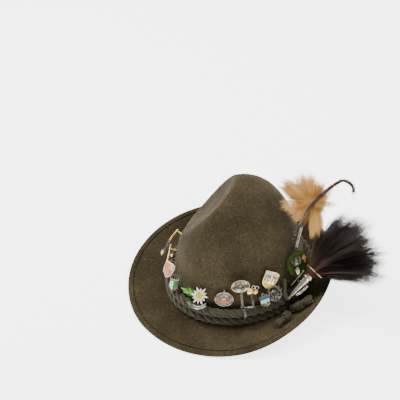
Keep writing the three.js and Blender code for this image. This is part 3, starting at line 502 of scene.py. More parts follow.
@dataclass
class Draft:
    """The mesh of one piece while it is made."""

    name: str
    points: list[Points] = field(default_factory=list)
    faces: list[tuple[int, ...]] = field(default_factory=list)
    looks: list[int] = field(default_factory=list)
    palette: list[Look] = field(default_factory=list)
    values: dict[str, list[Points]] = field(default_factory=lambda: {name: [] for name in ATTRIBUTES})
    count: int = 0

    def add(self, points: Points, faces: Sequence[Sequence[int]], look: Look, place: Place | None = None,
            **values: Points) -> None:
        """Adds a shape.

        Args:
            points: its points.
            faces: its faces as indexes of its points.
            look: its finish.
            place: the frame that its points are given in.
            values: attributes of its points.
        """
        if look not in self.palette:
            self.palette.append(look)
        index = self.palette.index(look)
        where = place.at(points) if place else np.asarray(points, float)
        self.points.append(where)
        base = self.count
        self.faces += [tuple(base + i for i in face) for face in faces]
        self.looks += [index] * len(faces)
        for key, given in self.values.items():
            given.append(np.broadcast_to(np.asarray(values.get(key, 0.5), float), (len(where),)))
        self.count += len(where)

    def grid(self, points: Points, look: Look, wrap: bool = False, place: Place | None = None,
             **values: Points) -> None:
        """Adds a surface from rows of points, which may close round."""
        rows, sides = points.shape[:2]
        last = sides if wrap else sides - 1
        faces = [(r * sides + s, (r + 1) * sides + s, (r + 1) * sides + (s + 1) % sides,
                  r * sides + (s + 1) % sides)
                 for r in range(rows - 1) for s in range(last)]
        if wrap:
            faces.append(tuple(range(sides)))
            faces.append(tuple((rows - 1) * sides + s for s in reversed(range(sides))))
        self.add(points.reshape(-1, 3), faces, look, place, **values)

    def sweep(self, path: Points, radius: Union[float, Points], look: Look, sides: int = 8,
              place: Place | None = None, flat: float = 1.0, first: Points | None = None,
              **values: Points) -> None:
        """Adds a round bar along a path.

        Args:
            path: its middle line.
            radius: its radius, or one for each point.
            look: its finish.
            sides: points round it.
            place: the frame that the path is given in.
            flat: its thickness across, as a share of its width.
            first: a direction across it at its start.
            values: attributes of its points.
        """
        normal, side = frames(path, first)
        angle = np.linspace(0, 2 * math.pi, sides, endpoint=False)
        reach = np.broadcast_to(np.asarray(radius, float), (len(path),))[:, None, None]
        body = path[:, None] + reach * wheels(angle, normal, side, flat)
        self.grid(body[:, ::-1], look, True, place, **values)

    def lathe(self, profile: Sequence[Sequence[float]], look: Look, place: Place | None = None,
              sides: int = 40,
              oval: float = 1.0, flute: Callable[[Points, Points], Points] | None = None) -> None:
        """Adds a body turned round z.

        Args:
            profile: radius and height of its outline, from its bottom to its top.
            look: its finish.
            place: the frame.
            sides: points round it.
            oval: its height as a share of its width.
            flute: changes the radius by angle and height.
        """
        outline = np.asarray(profile, float)
        angle = np.linspace(0, 2 * math.pi, sides, endpoint=False)
        reach = np.repeat(outline[:, :1], sides, axis=1)
        if flute:
            reach = flute(reach, angle[None, :] + 0 * reach)
        rings = np.stack([reach * np.cos(angle), oval * reach * np.sin(angle),
                          np.repeat(outline[:, 1:2], sides, axis=1)], axis=-1)
        self.grid(rings[:, ::-1], look, True, place)

    def ball(self, centre: Sequence[float], radii: Sequence[float], look: Look, place: Place | None = None,
             sides: int = 16) -> None:
        """Adds a ball with three half sizes."""
        rise = np.linspace(-math.pi / 2, math.pi / 2, sides // 2 + 1)[1:-1]
        angle = np.linspace(0, 2 * math.pi, sides, endpoint=False)
        shell = np.stack([np.cos(rise)[:, None] * np.cos(angle), np.cos(rise)[:, None] * np.sin(angle),
                          np.repeat(np.sin(rise)[:, None], sides, axis=1)], axis=-1)
        self.grid((shell * np.asarray(radii, float) + np.asarray(centre, float))[:, ::-1], look, True, place)

    def plate(self, outline: Sequence[Sequence[float]], low: float, high: float, look: Look,
              place: Place | None = None, bevel: float = 0.25) -> None:
        """Adds a flat plate with a bevelled front edge.

        Args:
            outline: its corners, counterclockwise.
            low: height of its back.
            high: height of its front.
            look: its finish.
            place: the frame.
            bevel: width of the bevel.
        """
        flat = np.asarray(outline, float)
        after, before = np.roll(flat, -1, axis=0), np.roll(flat, 1, axis=0)
        ahead, behind = unit(after - flat), unit(flat - before)
        inward = unit(np.stack([-(ahead + behind)[:, 1], (ahead + behind)[:, 0]], axis=1))
        inner = flat + inward * bevel
        rings = [np.column_stack([ring, np.full(len(flat), z)])
                 for ring, z in ((flat, low), (flat, high - bevel), (inner, high))]
        self.grid(np.stack(rings)[:, ::-1], look, True, place)

    def slab(self, wide: tuple[float, float], tall: tuple[float, float], low: float, high: float, look: Look,
             place: Place, bevel: float = 0.25) -> None:
        """Adds a plate between two x and two y."""
        (left, right), (foot, head) = wide, tall
        self.plate([(left, foot), (right, foot), (right, head), (left, head)], low, high, look, place, bevel)

    def wire(self, points: Sequence[Sequence[float]], step: float, radius: float, place: Place | None = None,
             look: Look = Look.SILVER, sides: int = 8, closed: bool = False) -> None:
        """Adds a round bar through points.

        Args:
            points: the points.
            step: distance between its rings.
            radius: its radius.
            place: the frame that the points are given in.
            look: its finish.
            sides: points round it.
            closed: whether it ends where it starts.
        """
        self.sweep(curve(points, step, closed), radius, look, sides, place)

    def taper(self, points: Sequence[Sequence[float]], step: float, ends: tuple[float, float], place: Place,
              sides: int = 8) -> Points:
        """Adds a silver bar through points that narrows evenly, and gives its path."""
        path = curve(points, step)
        self.sweep(path, np.linspace(*ends, len(path)), Look.SILVER, sides, place)
        return path

    def border(self, outline: Outline, share: float, height: float, radius: float, place: Place,
               look: Look = Look.SILVER, step: float = 0.8) -> None:
        """Adds a bar round an outline that is shrunk to a share of itself."""
        edge = [(x * share, y * share, height) for x, y in outline]
        self.wire([*edge, edge[0]], step, radius, place, look)

    def leg(self, x: float, y: float, heights: Sequence[float], radius: float, look: Look,
            place: Place) -> None:
        """Adds an upright bar with a ring at each height."""
        self.sweep(np.array([[x, y, z] for z in heights]), radius, look, 8, place)

    def build(self, hat: "Hat", replaces: Sequence[str] = (), shade: bool = True) -> bpy.types.Object:
        """Turns the draft into an object of the hat.

        Args:
            hat: where the crown's axis stands in the frame.
            replaces: the nodes that it stands for.
            shade: whether soft edges are shaded smooth.

        Returns:
            The object.
        """
        mesh = bpy.data.meshes.new(self.name)
        where = (np.concatenate(self.points) + hat.shift) * MM
        mesh.from_pydata(where.tolist(), [], self.faces)
        for key, given in self.values.items():
            flat = np.concatenate(given).astype(np.float32)
            if flat.max() > flat.min() or key in ALWAYS_KEPT:
                mesh.attributes.new(key, "FLOAT", "POINT").data.foreach_set("value", flat)
        for look in self.palette:
            mesh.materials.append(hat.material(look))
        mesh.polygons.foreach_set("material_index", self.looks)
        if shade:
            mesh.polygons.foreach_set("use_smooth", [True] * len(self.faces))
            mesh.set_sharp_from_angle(angle=math.radians(SHARP_ANGLE))
        mesh.validate()
        made = bpy.data.objects.new(self.name, mesh)
        bpy.context.scene.collection.objects.link(made)
        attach(made, "root")
        if replaces:
            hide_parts(*replaces)
        first = self.palette[0]
        SLOTS.get(first, first.value)
        log.info("%s: %d faces", self.name, len(self.faces))
        return made


def rope(draft: Draft, path: Points, diameter: float, look: Look, plies: int = 3, pitch: float = 2.75,
         yarns: int = 5, across: Points | None = None) -> None:
    """Adds a laid rope: plies wound round a path, each of twisted yarns.

    Args:
        draft: where it goes.
        path: its middle line, evenly spaced.
        diameter: its width.
        look: its finish.
        plies: how many plies.
        pitch: length of one turn, in diameters.
        yarns: ridges round each ply.
        across: a direction across the path at its start.
    """
    step = float(np.linalg.norm(path[1] - path[0]))
    run = np.arange(len(path)) * step
    normal, side = frames(path, across)
    reach = diameter / 2 * (0.5 if plies == 3 else 0.46)
    sides = yarns * 3
    around = np.linspace(0, 2 * math.pi, sides, endpoint=False)
    for ply in range(plies):
        angle = 2 * math.pi * (ply / plies + run / (pitch * diameter))
        off = np.cos(angle)[:, None] * normal + np.sin(angle)[:, None] * side
        middle = path + (diameter / 2 - reach) * off
        across_ply, side_ply = frames(middle, normal[0])
        twist = -2 * math.pi * run / (pitch * diameter * 0.8)
        # The ridge value swells each yarn and also places the yarn material's painted ridge light and groove
        # shade.
        ridge = 0.5 + 0.5 * np.cos(yarns * (around[None, :] + twist[:, None]))
        swell = reach * (0.9 + 0.12 * ridge)
        body = middle[:, None] + swell[..., None] * wheels(around, across_ply, side_ply)
        draft.grid(body[:, ::-1], look, True, ridge=ridge[:, ::-1].ravel())


def strands(draft: Draft, control: Sequence[Points], radius: float, look: Look, tone: Points,
            segments: int = 5,
            curl: Points | None = None, tip: float = 0.3) -> None:
    """Adds hairs, each a thin tapered bar along a curve with four control points.

    Args:
        draft: where they go.
        control: four arrays of points, from the roots to the tips.
        radius: half width at the root.
        look: their finish.
        tone: lightness of each hair.
        segments: stretches in each hair.
        curl: sideways waves of each hair.
        tip: half width before the tip, as a share of the root's.
    """
    a, b, c, d = (np.asarray(points, float) for points in control)
    share = np.linspace(0, 1, segments + 1)[:, None, None]
    rest = 1 - share
    path = a * rest ** 3 + 3 * b * share * rest ** 2 + 3 * c * share ** 2 * rest + d * share ** 3
    if curl is not None:
        path = path + curl[None] * np.sin(share * math.pi * 2.2) * share
    path = path.transpose(1, 0, 2)
    tangent = unit(np.gradient(path, axis=1))
    normal = unit(np.cross(tangent, np.array([0.31, 0.52, 0.79])))
    side = np.cross(tangent, normal)
    width = radius * (1 - (1 - tip) * np.linspace(0, 1, segments + 1)[None, :, None] ** 1.5)
    rings = [path + width * (math.cos(q) * normal + math.sin(q) * side) for q in (0.0, 2.1, 4.2)]
    hairs = len(a)
    body = np.stack(rings, axis=2)[:, :segments].reshape(hairs, -1, 3)
    points = np.concatenate([body, path[:, -1:]], axis=1)
    each = segments * 3 + 1
    pattern = []
    for i in range(segments - 1):
        for j in range(3):
            k = (j + 1) % 3
            pattern.append((i * 3 + j, i * 3 + k, (i + 1) * 3 + k, (i + 1) * 3 + j))
    ends = [((segments - 1) * 3 + j, (segments - 1) * 3 + (j + 1) % 3, segments * 3) for j in range(3)]
    base = np.arange(hairs)[:, None, None] * each
    faces = (base + np.array(pattern)[None]).reshape(-1, 4).tolist()
    faces += (base + np.array(ends)[None]).reshape(-1, 3).tolist()
    along = np.concatenate([np.repeat(np.arange(segments) / segments, 3), [1.0]])
    draft.add(points.reshape(-1, 3), faces, look, along=np.tile(along, hairs), tone=np.repeat(tone, each))


@dataclass(frozen=True)
class Row:
    """A row of the brim's table."""

    turn: float
    width: float
    root: float
    steep: float
    edge: float


@dataclass(frozen=True)
class Dent:
    """A dent of the crown, its lengths as shares of the foot's half width."""

    turn: float
    climb: float
    depth: float
    across: float
    along: float
    block: float
    blend: float


@dataclass
class FeltForm:
    """The felt's upper side, as the frame's solid has it."""

    wall: float = 2.5
    half_length: float = 97.0
    half_width: float = 80.0
    top: float = 153.0
    front_rise: float = 14.0
    flattened: float = 1.6
    break_radius: float = 5.0
    brim_width: float = 51.0
    apex_right: float = 14.0
    apex_back: float = 14.0
    steepest: float = 0.65
    profile: tuple[tuple[float, float], ...] = (
        (1, 0), (1, 0.12), (0.96, 0.3), (0.87, 0.5), (0.74, 0.68), (0.59, 0.82), (0.42, 0.92), (0.21, 0.98),
        (0, 1))
    dents: tuple[Dent, ...] = (
        Dent(42, 0.56, 0.24, 1.15, 0.9, 1.1, 0.24),
        Dent(-62, 0.64, 0.24, 3, 4, 4, 0.1))
    brim: tuple[Row, ...] = (
        Row(-180, 0.96, 24, 66, 20), Row(-135, 0.94, 22, 62, 20), Row(-90, 1.07, 12, 36, 12),
        Row(-60, 1.14, 2, 8, 4), Row(-30, 1.12, -7, -10, -14), Row(0, 1.05, -10, -15, -20),
        Row(40, 0.99, -6, -8, -10), Row(75, 0.96, 8, 28, 10), Row(110, 0.88, 18, 56, 20),
        Row(145, 0.86, 24, 66, 20), Row(180, 0.96, 24, 66, 20))

    def __post_init__(self) -> None:
        """Works out the blocks that press the dents."""
        self.core = np.array([0, 0, self.top * 0.3])
        self.blocks = []
        for dent in self.dents:
            turn, step = np.array([math.radians(dent.turn)]), 1e-3
            climb = np.array([dent.climb])
            across = unit(self.blank(turn + step, climb) - self.blank(turn - step, climb))[0, 0]
            rising = (self.blank(turn, climb + step) - self.blank(turn, climb - step))[0, 0]
            out = unit(np.cross(across, rising))
            centre = self.blank(turn, climb)[0, 0] + out * (dent.block - dent.depth) * self.half_width
            axes = np.stack([across, np.cross(out, across), out])
            halves = np.array([dent.across, dent.along, dent.block]) * self.half_width
            self.blocks.append((centre, axes, halves, dent.blend * self.half_width))

    def break_height(self, turn: Points) -> Points:
        """Height of the break between crown and brim."""
        return self.wall - self.flattened + self.front_rise * (1 + np.cos(turn)) / 2

    def profile_at(self, climb: float) -> tuple[float, float]:
        """Reach and rise of the undented crown at a climb, on a centripetal curve."""
        points = np.asarray(self.profile, float)
        at = min(max(climb, 0.0), 1.0) * (len(points) - 1)
        i = min(int(at), len(points) - 2)
        share = at - i
        p1, p2 = points[i], points[i + 1]
        p0 = points[i - 1] if i > 0 else 2 * p1 - p2
        p3 = points[i + 2] if i + 2 < len(points) else 2 * p2 - p1
        d0, d1, d2 = (math.dist(u, v) ** 0.5 for u, v in ((p0, p1), (p1, p2), (p2, p3)))
        s1 = ((p1 - p0) / d0 - (p2 - p0) / (d0 + d1) + (p2 - p1) / d1) * d1
        s2 = ((p2 - p1) / d1 - (p3 - p1) / (d1 + d2) + (p3 - p2) / d2) * d1
        square, cube = -3 * p1 + 3 * p2 - 2 * s1 - s2, 2 * p1 - 2 * p2 + s1 + s2
        value = p1 + s1 * share + square * share ** 2 + cube * share ** 3
        return float(value[0]), float(value[1])

    def blank(self, turn: Points, climb: Points) -> Points:
        """The crown before it is dented, as climbs by turns."""
        pairs = np.array([self.profile_at(float(one)) for one in np.ravel(climb)])
        reach, rise = pairs[:, 0][:, None], pairs[:, 1][:, None]
        foot = self.break_height(turn)[None] + self.break_radius
        return np.stack([self.half_width * reach * np.sin(turn) - self.apex_right * rise,
                         -self.half_length * reach * np.cos(turn) + self.apex_back * rise,
                         foot + (self.top - foot) * rise], axis=-1)

    def crown(self, turn: Points, climb: Points) -> Points:
        """The dented crown, as climbs by turns."""
        ray = self.blank(turn, climb) - self.core
        reach = np.linalg.norm(ray, axis=-1)
        ray = ray / np.maximum(reach[..., None], 1e-9)
        for centre, axes, halves, blend in self.blocks:
            start = (axes @ (self.core - centre)) / halves
            way = (ray @ axes.T) / halves
            a = (way ** 2).sum(-1)
            b = way @ start
            inside = b * b - a * ((start ** 2).sum() - 1)
            hit = (-b - np.sqrt(np.maximum(inside, 0))) / a
            near = np.maximum(blend - np.abs(reach - hit), 0) / blend
            pressed = np.minimum(reach, hit) - near ** 3 * blend / 6
            reach = np.where((inside > 0) & (b < 0), pressed, reach)
        return self.core + ray * reach[..., None]

    def column(self, name: str, turn: float) -> float:
        """Reads one column of the brim's table at a turn, smoothly between its rows."""
        rows = self.brim
        x = (math.degrees(turn) + 180) % 360 - 180
        i = 0
        while i < len(rows) - 2 and x > rows[i + 1].turn:
            i += 1

        def slope(k: int) -> float:
            """The table's slope at a row."""
            if k in (0, len(rows) - 1):
                return 0.0
            rise = getattr(rows[k + 1], name) - getattr(rows[k - 1], name)
            return rise / (rows[k + 1].turn - rows[k - 1].turn)

        a, b = rows[i], rows[i + 1]
        h = b.turn - a.turn
        t = (x - a.turn) / h
        ease = t * t * (3 - 2 * t)
        return (getattr(a, name) * (1 - ease) + getattr(b, name) * ease
                + h * t * (1 - t) * ((1 - t) * slope(i) - t * slope(i + 1)))

    def rim(self, turn: Points, bends: Points, shares: Points) -> Points:
        """The break and the brim, as rows by turns.

        Args:
            turn: the turns.
            bends: how far round the break each of its rows lies.
            shares: how far out each row of the brim lies.

        Returns:
            The rows of the break, then those of the brim.
        """
        root, steep, edge, width = (np.array([self.column(name, t) for t in turn])
                                    for name in ("root", "steep", "edge", "width"))
        full = np.radians(90 + root)
        bend = bends[:, None] * full
        outs = [self.break_radius * (1 - np.cos(bend))]
        ups = [self.break_radius * (1 - np.sin(bend))]
        fine = np.linspace(0, 1, 161)
        middle = ((fine[1:] + fine[:-1]) / 2)[:, None]
        slope = np.where(middle < self.steepest, root + (steep - root) * smooth(middle, 0, self.steepest),
                         steep + (edge - steep) * smooth(middle, self.steepest, 1))
        slope = np.radians(slope)
        length = (width * self.brim_width)[None] / 160
        for total, piece, start in ((outs, np.cos(slope), 1 - np.cos(full)),
                                    (ups, np.sin(slope), 1 - np.sin(full))):
            run = np.concatenate([np.zeros((1, len(turn))), np.cumsum(piece * length, axis=0)])
            total.append(np.stack([np.interp(shares, fine, run[:, i]) for i in range(len(turn))], axis=1)
                         + self.break_radius * start)
        out, up = np.concatenate(outs), np.concatenate(ups)
        outward = unit(np.stack([np.sin(turn) / self.half_width, -np.cos(turn) / self.half_length], axis=-1))
        return np.stack([self.half_width * np.sin(turn) + outward[:, 0] * out,
                         -self.half_length * np.cos(turn) + outward[:, 1] * out,
                         self.break_height(turn) + up], axis=-1)

    def wall_at(self, turn: float, height: float) -> tuple[Points, Points]:
        """The point at a height of the crown's wall and the direction away from it."""
        angle = np.array([math.radians(turn)])
        low, high = 0.0, 1.0
        for _ in range(26):
            middle = (low + high) / 2
            if self.crown(angle, np.array([middle]))[0, 0, 2] < height:
                low = middle
            else:
                high = middle
        climb, step = np.array([low]), 1e-3
        across = (self.crown(angle + step, climb) - self.crown(angle - step, climb))[0, 0]
        rising = (self.crown(angle, climb + step) - self.crown(angle, climb - step))[0, 0]
        return self.crown(angle, climb)[0, 0], unit(np.cross(across, rising))

    def section(self, turn: float) -> tuple[Points, Callable[[float, float], Points]]:
        """A section through the lower crown and the brim.

        Args:
            turn: its turn in degrees.

        Returns:
            The felt as distance out and height, and a function that gives a point of the section.
        """
        angle = np.array([math.radians(turn)])
        foot = np.array([self.half_width * math.sin(angle[0]), -self.half_length * math.cos(angle[0]), 0.0])
        out = unit(np.array([math.sin(angle[0]) / self.half_width, -math.cos(angle[0]) / self.half_length,
                             0.0]))
        felt = np.concatenate([self.crown(angle, np.linspace(0.4, 0, 40))[:, 0],
                               self.rim(angle, np.linspace(0.1, 1, 10), np.linspace(0.02, 1, 50))[:, 0]])
        flat = np.stack([(felt - foot) @ out, felt[:, 2]], axis=1)
        return flat, lambda x, z: foot + out * x + np.array([0, 0, z])


@dataclass
class Hat:
    """What the pieces share: the felt's form, its place in the frame, and the finishes."""

    form: FeltForm
    cord: float = 12.0
    shift: Points = field(default_factory=lambda: np.zeros(3))
    made: dict[Look, bpy.types.Material] = field(default_factory=dict)

    def __post_init__(self) -> None:
        """Finds the crown's axis in the frame from the felt's box, and samples the wall."""
        turn = np.radians(np.arange(0, 360, 1.0))
        rim = self.form.rim(turn, np.array([1.0]), np.array([1.0]))[-1]
        low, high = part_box("felt_body")
        middle = (np.array(low) + np.array(high)) / 2 / MM
        self.shift = middle - (rim.min(axis=0) + rim.max(axis=0)) / 2
        self.shift[2] = 0.0
        self.wall = self.form.crown(np.radians(np.arange(-180, 180, 2.0)),
                                    np.linspace(0.1, 0.6, 60)).reshape(-1, 3)

    def material(self, look: Look) -> bpy.types.Material:
        """The material of a finish, made once."""
        if look not in self.made:
            self.made[look] = FINISHES[look].material()
        return self.made[look]

    def off_wall(self, turn: float, above: float, stand: float) -> tuple[Points, Points]:
        """A point off the crown's wall and the way out there, its lengths in cord diameters."""
        height = float(self.form.break_height(np.radians(turn))) + above * self.cord
        point, out = self.form.wall_at(turn, height)
        return point + out * stand * self.cord, out

    def pin(self, turn: float, above: float, stand: float, tip: float = 0, yaw: float = 0,
            spin: float = 0) -> Place:
        """The frame of a pin that stands off the crown's wall.

        Args:
            turn: where it sits round the hat.
            above: height of its foot over the break, in cord diameters.
            stand: distance from the wall, in cord diameters.
            tip: how far its face turns up.
            yaw: how far its face turns to its right.
            spin: how far it turns in its own plane.

        Returns:
            The frame.
        """
        point, out = self.off_wall(turn, above, stand)
        right = unit(np.cross([0, 0, 1.0], out))
        wall = np.stack([right, np.cross(out, right), out], axis=1)
        turned = (Matrix.Rotation(math.radians(yaw), 3, "Y") @ Matrix.Rotation(math.radians(-tip), 3, "X")
                  @ Matrix.Rotation(math.radians(spin), 3, "Z"))
        return Place(point, wall @ np.array(turned))

    def post(self, draft: Draft, point: Points, look: Look = Look.SILVER, radius: float = 1.0) -> None:
        """Adds the plain post that runs from a point behind a pin to the felt."""
        nearest = self.wall[np.linalg.norm(self.wall - point, axis=1).argmin()]
        draft.sweep(np.stack([point, (point + nearest) / 2, nearest]), radius, look, 10)

    def band(self, turn: float, diameter: float) -> tuple[Points, Points, Callable[[float, float], Points]]:
        """The middles of the band's two cords at a turn.

        Args:
            turn: the turn in degrees.
            diameter: a cord's width.

        Returns:
            The lower and upper middle as distance out and height, and the section's function.
        """
        gap, radius = 0.3, diameter / 2
        felt, at = self.form.section(turn)
        floor = float(self.form.break_height(np.radians(turn)))
        lower = np.array([radius + gap, floor + radius + gap])
        upper = np.array([radius, floor + 3 * radius + 2 * gap])
        for _ in range(30):
            for centre in (lower, upper):
                away = centre - felt
                far = np.linalg.norm(away, axis=1)
                i = far.argmin()
                if far[i] < radius + gap:
                    centre += away[i] / far[i] * (radius + gap - far[i])
            apart = upper - lower
            missing = diameter + gap - np.linalg.norm(apart)
            if missing > 0:
                upper += unit(apart) * missing
        return lower, upper, at

    def over_band(self, turn: float, angle: float, away: float) -> Points:
        """A point beside the upper cord: angle 90 is on top of it, 0 straight out."""
        _, upper, at = self.band(turn, self.cord)
        a = math.radians(angle)
        return at(upper[0] + away * math.cos(a), upper[1] + away * math.sin(a))

    def on_brim(self, turn: float, out: float, radius: float) -> Points:
        """The middle of a ball that lies on the brim at a distance out from the crown's foot."""
        felt, at = self.form.section(turn)
        reach = radius + 0.3
        near = felt[(felt[:, 1] < 60) & (np.abs(felt[:, 0] - out) < reach)]
        return at(out, float((near[:, 1] + np.sqrt(reach ** 2 - (near[:, 0] - out) ** 2)).max()))


@dataclass
class FeltBody:
    """The felt shell with the welt round its brim's edge, and the lint on it."""

    columns: int = 264
    welt_width: float = 7.0
    groove_depth: float = 1.1
    welt_rise: float = 0.7
    waves: float = 0.35
    lint_hairs: int = 2600
    lint_radius: float = 0.085

    def surface(self, form: FeltForm) -> tuple[Points, Points, Points]:
        """The upper side, its normals and the mask of the groove, which sinks the groove and also places
        painted shade in it.
        """
        turn = np.linspace(0, 2 * math.pi, self.columns, endpoint=False)
        climbs = np.concatenate([np.linspace(0.995, 0.9, 12, endpoint=False), np.linspace(0.9, 0, 78)])
        shares = np.concatenate([np.linspace(0.03, 0.78, 26, endpoint=False), np.linspace(0.78, 1, 30)])
        crown = form.crown(turn, climbs)
        rim = form.rim(turn, np.linspace(0.14, 1, 7), shares)
        upper = np.concatenate([crown, rim])
        down = np.gradient(upper, axis=0)
        round_ = np.roll(upper, -1, axis=1) - np.roll(upper, 1, axis=1)
        normal = unit(np.cross(down, round_))
        wave = np.array([noise.noise(Vector(p) * 0.035) + 0.5 * noise.noise(Vector(p) * 0.09)
                         for p in upper.reshape(-1, 3)]).reshape(upper.shape[:2])
        run = np.linalg.norm(np.diff(upper[len(crown) + 6:], axis=0), axis=-1)
        left = np.concatenate([np.cumsum(run[::-1], axis=0)[::-1], np.zeros((1, self.columns))])
        left = np.concatenate([np.full((len(crown) + 6, self.columns), 99.0), left])
        groove = np.exp(-((left - self.welt_width) / 0.6) ** 2)
        lift = self.waves * wave * smooth(left, 0, 12) - self.groove_depth * groove
        outside = 1 - smooth(left, self.welt_width - 1.4, self.welt_width - 0.2)
        lift += self.welt_rise * outside * smooth(left, 0, 1.5)
        return upper + normal * lift[..., None], normal, groove

    def build(self, hat: Hat) -> None:
        """Builds the shell and its lint."""
        form = hat.form
        upper, normal, groove = self.surface(form)
        under = upper - normal * form.wall
        under[..., 2] = np.maximum(under[..., 2], 0.02)
        rims = []
        outward = unit(upper[-1] - upper[-3])
        for q in (35, 70, 105, 140):
            a = math.radians(q)
            middle = (upper[-1] + under[-1]) / 2
            bulge = outward * form.wall * 0.42 * math.sin(a)
            rims.append(middle + (upper[-1] - middle) * math.cos(a) + bulge)
        rim = np.stack(rims)
        rim[..., 2] = np.maximum(rim[..., 2], 0.02)
        rings = np.concatenate([upper, rim, under[::-1]])
        top = form.crown(np.array([0.0]), np.array([1.0]))[0, 0]
        # The edge attribute places painted shade: the groove mask on top, a flat share on the cut rim and a
        # weaker share of the groove underneath.
        edge = np.concatenate([groove, np.full((len(rim), self.columns), 0.15), groove[::-1] * 0.3])
        rows, sides = rings.shape[:2]
        points = np.concatenate([[top], rings.reshape(-1, 3), [top - [0, 0, form.wall]]])
        faces: list[tuple[int, ...]] = []
        for s in range(sides):
            k = (s + 1) % sides
            faces.append((0, 1 + s, 1 + k))
            faces.append((1 + (rows - 1) * sides + s, len(points) - 1, 1 + (rows - 1) * sides + k))
            faces += [(1 + r * sides + s, 1 + (r + 1) * sides + s, 1 + (r + 1) * sides + k, 1 + r * sides + k)
                      for r in range(rows - 1)]
        draft = Draft("felt_shell")
        draft.add(points, faces, Look.FELT, edge=np.concatenate([[0], edge.ravel(), [0]]))
        draft.build(hat, ["felt_body"])
        self.lint(hat, upper[6:], normal[6:])

    def lint(self, hat: Hat, upper: Points, normal: Points) -> None:
        """Lays short curved fibres on the felt."""
        rng = np.random.default_rng(7)
        flat, out = upper.reshape(-1, 3), normal.reshape(-1, 3)
        size = np.linalg.norm(np.cross(np.gradient(upper, axis=0), np.gradient(upper, axis=1)),
                              axis=-1).ravel()
        pick = rng.choice(len(flat), self.lint_hairs, p=size / size.sum())
        root, up = flat[pick] + rng.normal(0, 0.6, (len(pick), 3)), out[pick]
        side = unit(np.cross(up, unit(rng.normal(size=(len(pick), 3)))))
        length = np.minimum(rng.gamma(2.2, 1.6, len(pick)), 9.0)[:, None]
        root = root - up * ((root - flat[pick]) * up).sum(1)[:, None]
        bend = np.cross(up, side) * length * rng.uniform(-0.6, 0.6, (len(pick), 1))
        control = (root - up * 0.1, root + side * length * 0.35 + up * 0.6,
                   root + side * length * 0.7 + bend + up * 0.5,
                   root + side * length + bend * 0.6 + up * 0.25)
        draft = Draft("felt_lint")
        strands(draft, control, self.lint_radius, Look.LINT, rng.uniform(0, 1, len(pick)) ** 2, 4, tip=0.6)
        draft.build(hat)


@dataclass(frozen=True)
class Stop:
    """A stop of a cord's end on the brim, with the radius of its knot as a share of the cord's width."""

    turn: float
    out: float
    knot: float


@dataclass
class CordBand:
    """The band's two laid cords, their wrapping, and their two ends with knots."""

    diameter: float = 12.0
    tail: float = 7.5
    tie_turn: float = 93.0
    tie_gap: float = 8.0
    wrap: float = 3.0
    back_end: tuple[Stop, ...] = (Stop(90.5, 18, 0), Stop(86, 21.5, 1.4), Stop(87.5, 28.5, 1.8),
                                  Stop(93, 33.5, 1.65))
    front_end: tuple[Stop, ...] = (Stop(81, 18, 0), Stop(78, 23, 0), Stop(76.5, 29.5, 1.7),
                                   Stop(70, 33, 1.45))

    def build(self, hat: Hat) -> None:
        """Builds the cords, the wrapping and the ends."""
        turns = np.linspace(self.tie_turn + self.tie_gap / 2, self.tie_turn + 360 - self.tie_gap / 2, 90)
        lower, upper = [], []
        for turn in turns:
            low, high, at = hat.band(float(turn), self.diameter)
            lower.append(at(*low))
            upper.append(at(*high))
        across = lower[0] * [1, 1, 0]
        for name, path in (("lower", lower), ("upper", upper)):
            draft = Draft(f"twisted_cord_{name}")
            rope(draft, curve(path, 1.5), self.diameter, Look.CORD, across=across)
            draft.build(hat, [f"cord_{name}"])
        self.tie(hat, (np.array(lower[0]), np.array(upper[0]), np.array(lower[-1]), np.array(upper[-1])))
        for name, stops in (("back", self.back_end), ("front", self.front_end)):
            self.end(hat, name, stops)

    def tie(self, hat: Hat, corners: tuple[Points, Points, Points, Points]) -> None:
        """Wraps a thin cord round both cords where their ends meet."""
        middle = sum(corners) / 4
        along = unit((corners[0] - corners[2]) * [1, 1, 0])
        up = unit(corners[1] - corners[0])
        out = np.cross(along, up)
        out = out if np.dot(out, middle) > 0 else -out
        half = float(np.linalg.norm(corners[1] - corners[0])) / 2
        reach = self.diameter / 2 - 0.4
        draft = Draft("cord_wrapping")
        angle = np.linspace(0, 2 * math.pi, 40, endpoint=False)
        for k in range(3):
            offset = (k - 1) * self.wrap * 0.93
            loop = [middle + along * (offset + 0.25 * self.wrap * math.sin(a)) + out * reach * math.cos(a)
                    + up * (reach * math.sin(a) + math.copysign(half, math.sin(a) or 1)) for a in angle]
            rope(draft, curve(loop, 0.8, closed=True), self.wrap, Look.CORD, plies=3, yarns=3)
        draft.ball(middle, (3, 5, half + 3), Look.CORD)
        draft.build(hat, ["cord_tie"])

    def end(self, hat: Hat, name: str, stops: Sequence[Stop]) -> None:
        """Lays one end of the cords on the brim, with its knots."""
        middles = [hat.on_brim(s.turn, s.out, max(s.knot, 1.15) * self.tail / 2) for s in stops]
        draft = Draft(f"knotted_end_{name}")
        rope(draft, curve(middles, 0.9), self.tail, Look.CORD, plies=3, yarns=4)
        for i, stop in enumerate(stops):
            if stop.knot:
                way = unit(middles[min(i + 1, len(middles) - 1)] - middles[i - 1])
                self.knot(draft, middles[i], way, stop.knot * self.tail / 2)
        draft.build(hat, [f"cord_end_{name}"])

    def knot(self, draft: Draft, middle: Points, way: Points, radius: float) -> None:
        """Winds a barrel knot: a thin cord in close turns round the end's way, over a core."""
        thick, turns = radius * 0.58, 3.6
        share = np.linspace(-1, 1, 120)
        angle = 2 * math.pi * turns * share / 2
        normal, side = frames(np.stack([middle - way, middle, middle + way]))
        reach = (radius - thick / 2) * np.sqrt(1 - 0.42 * share ** 2)
        coil = (middle + np.outer(share * thick * turns * 0.46, way)
                + reach[:, None] * (np.cos(angle)[:, None] * normal[1] + np.sin(angle)[:, None] * side[1]))
        rope(draft, curve(coil, 0.8), thick, Look.CORD, plies=2, yarns=4, pitch=2.4)
        draft.ball(middle, (radius * 0.74,) * 3, Look.CORD)


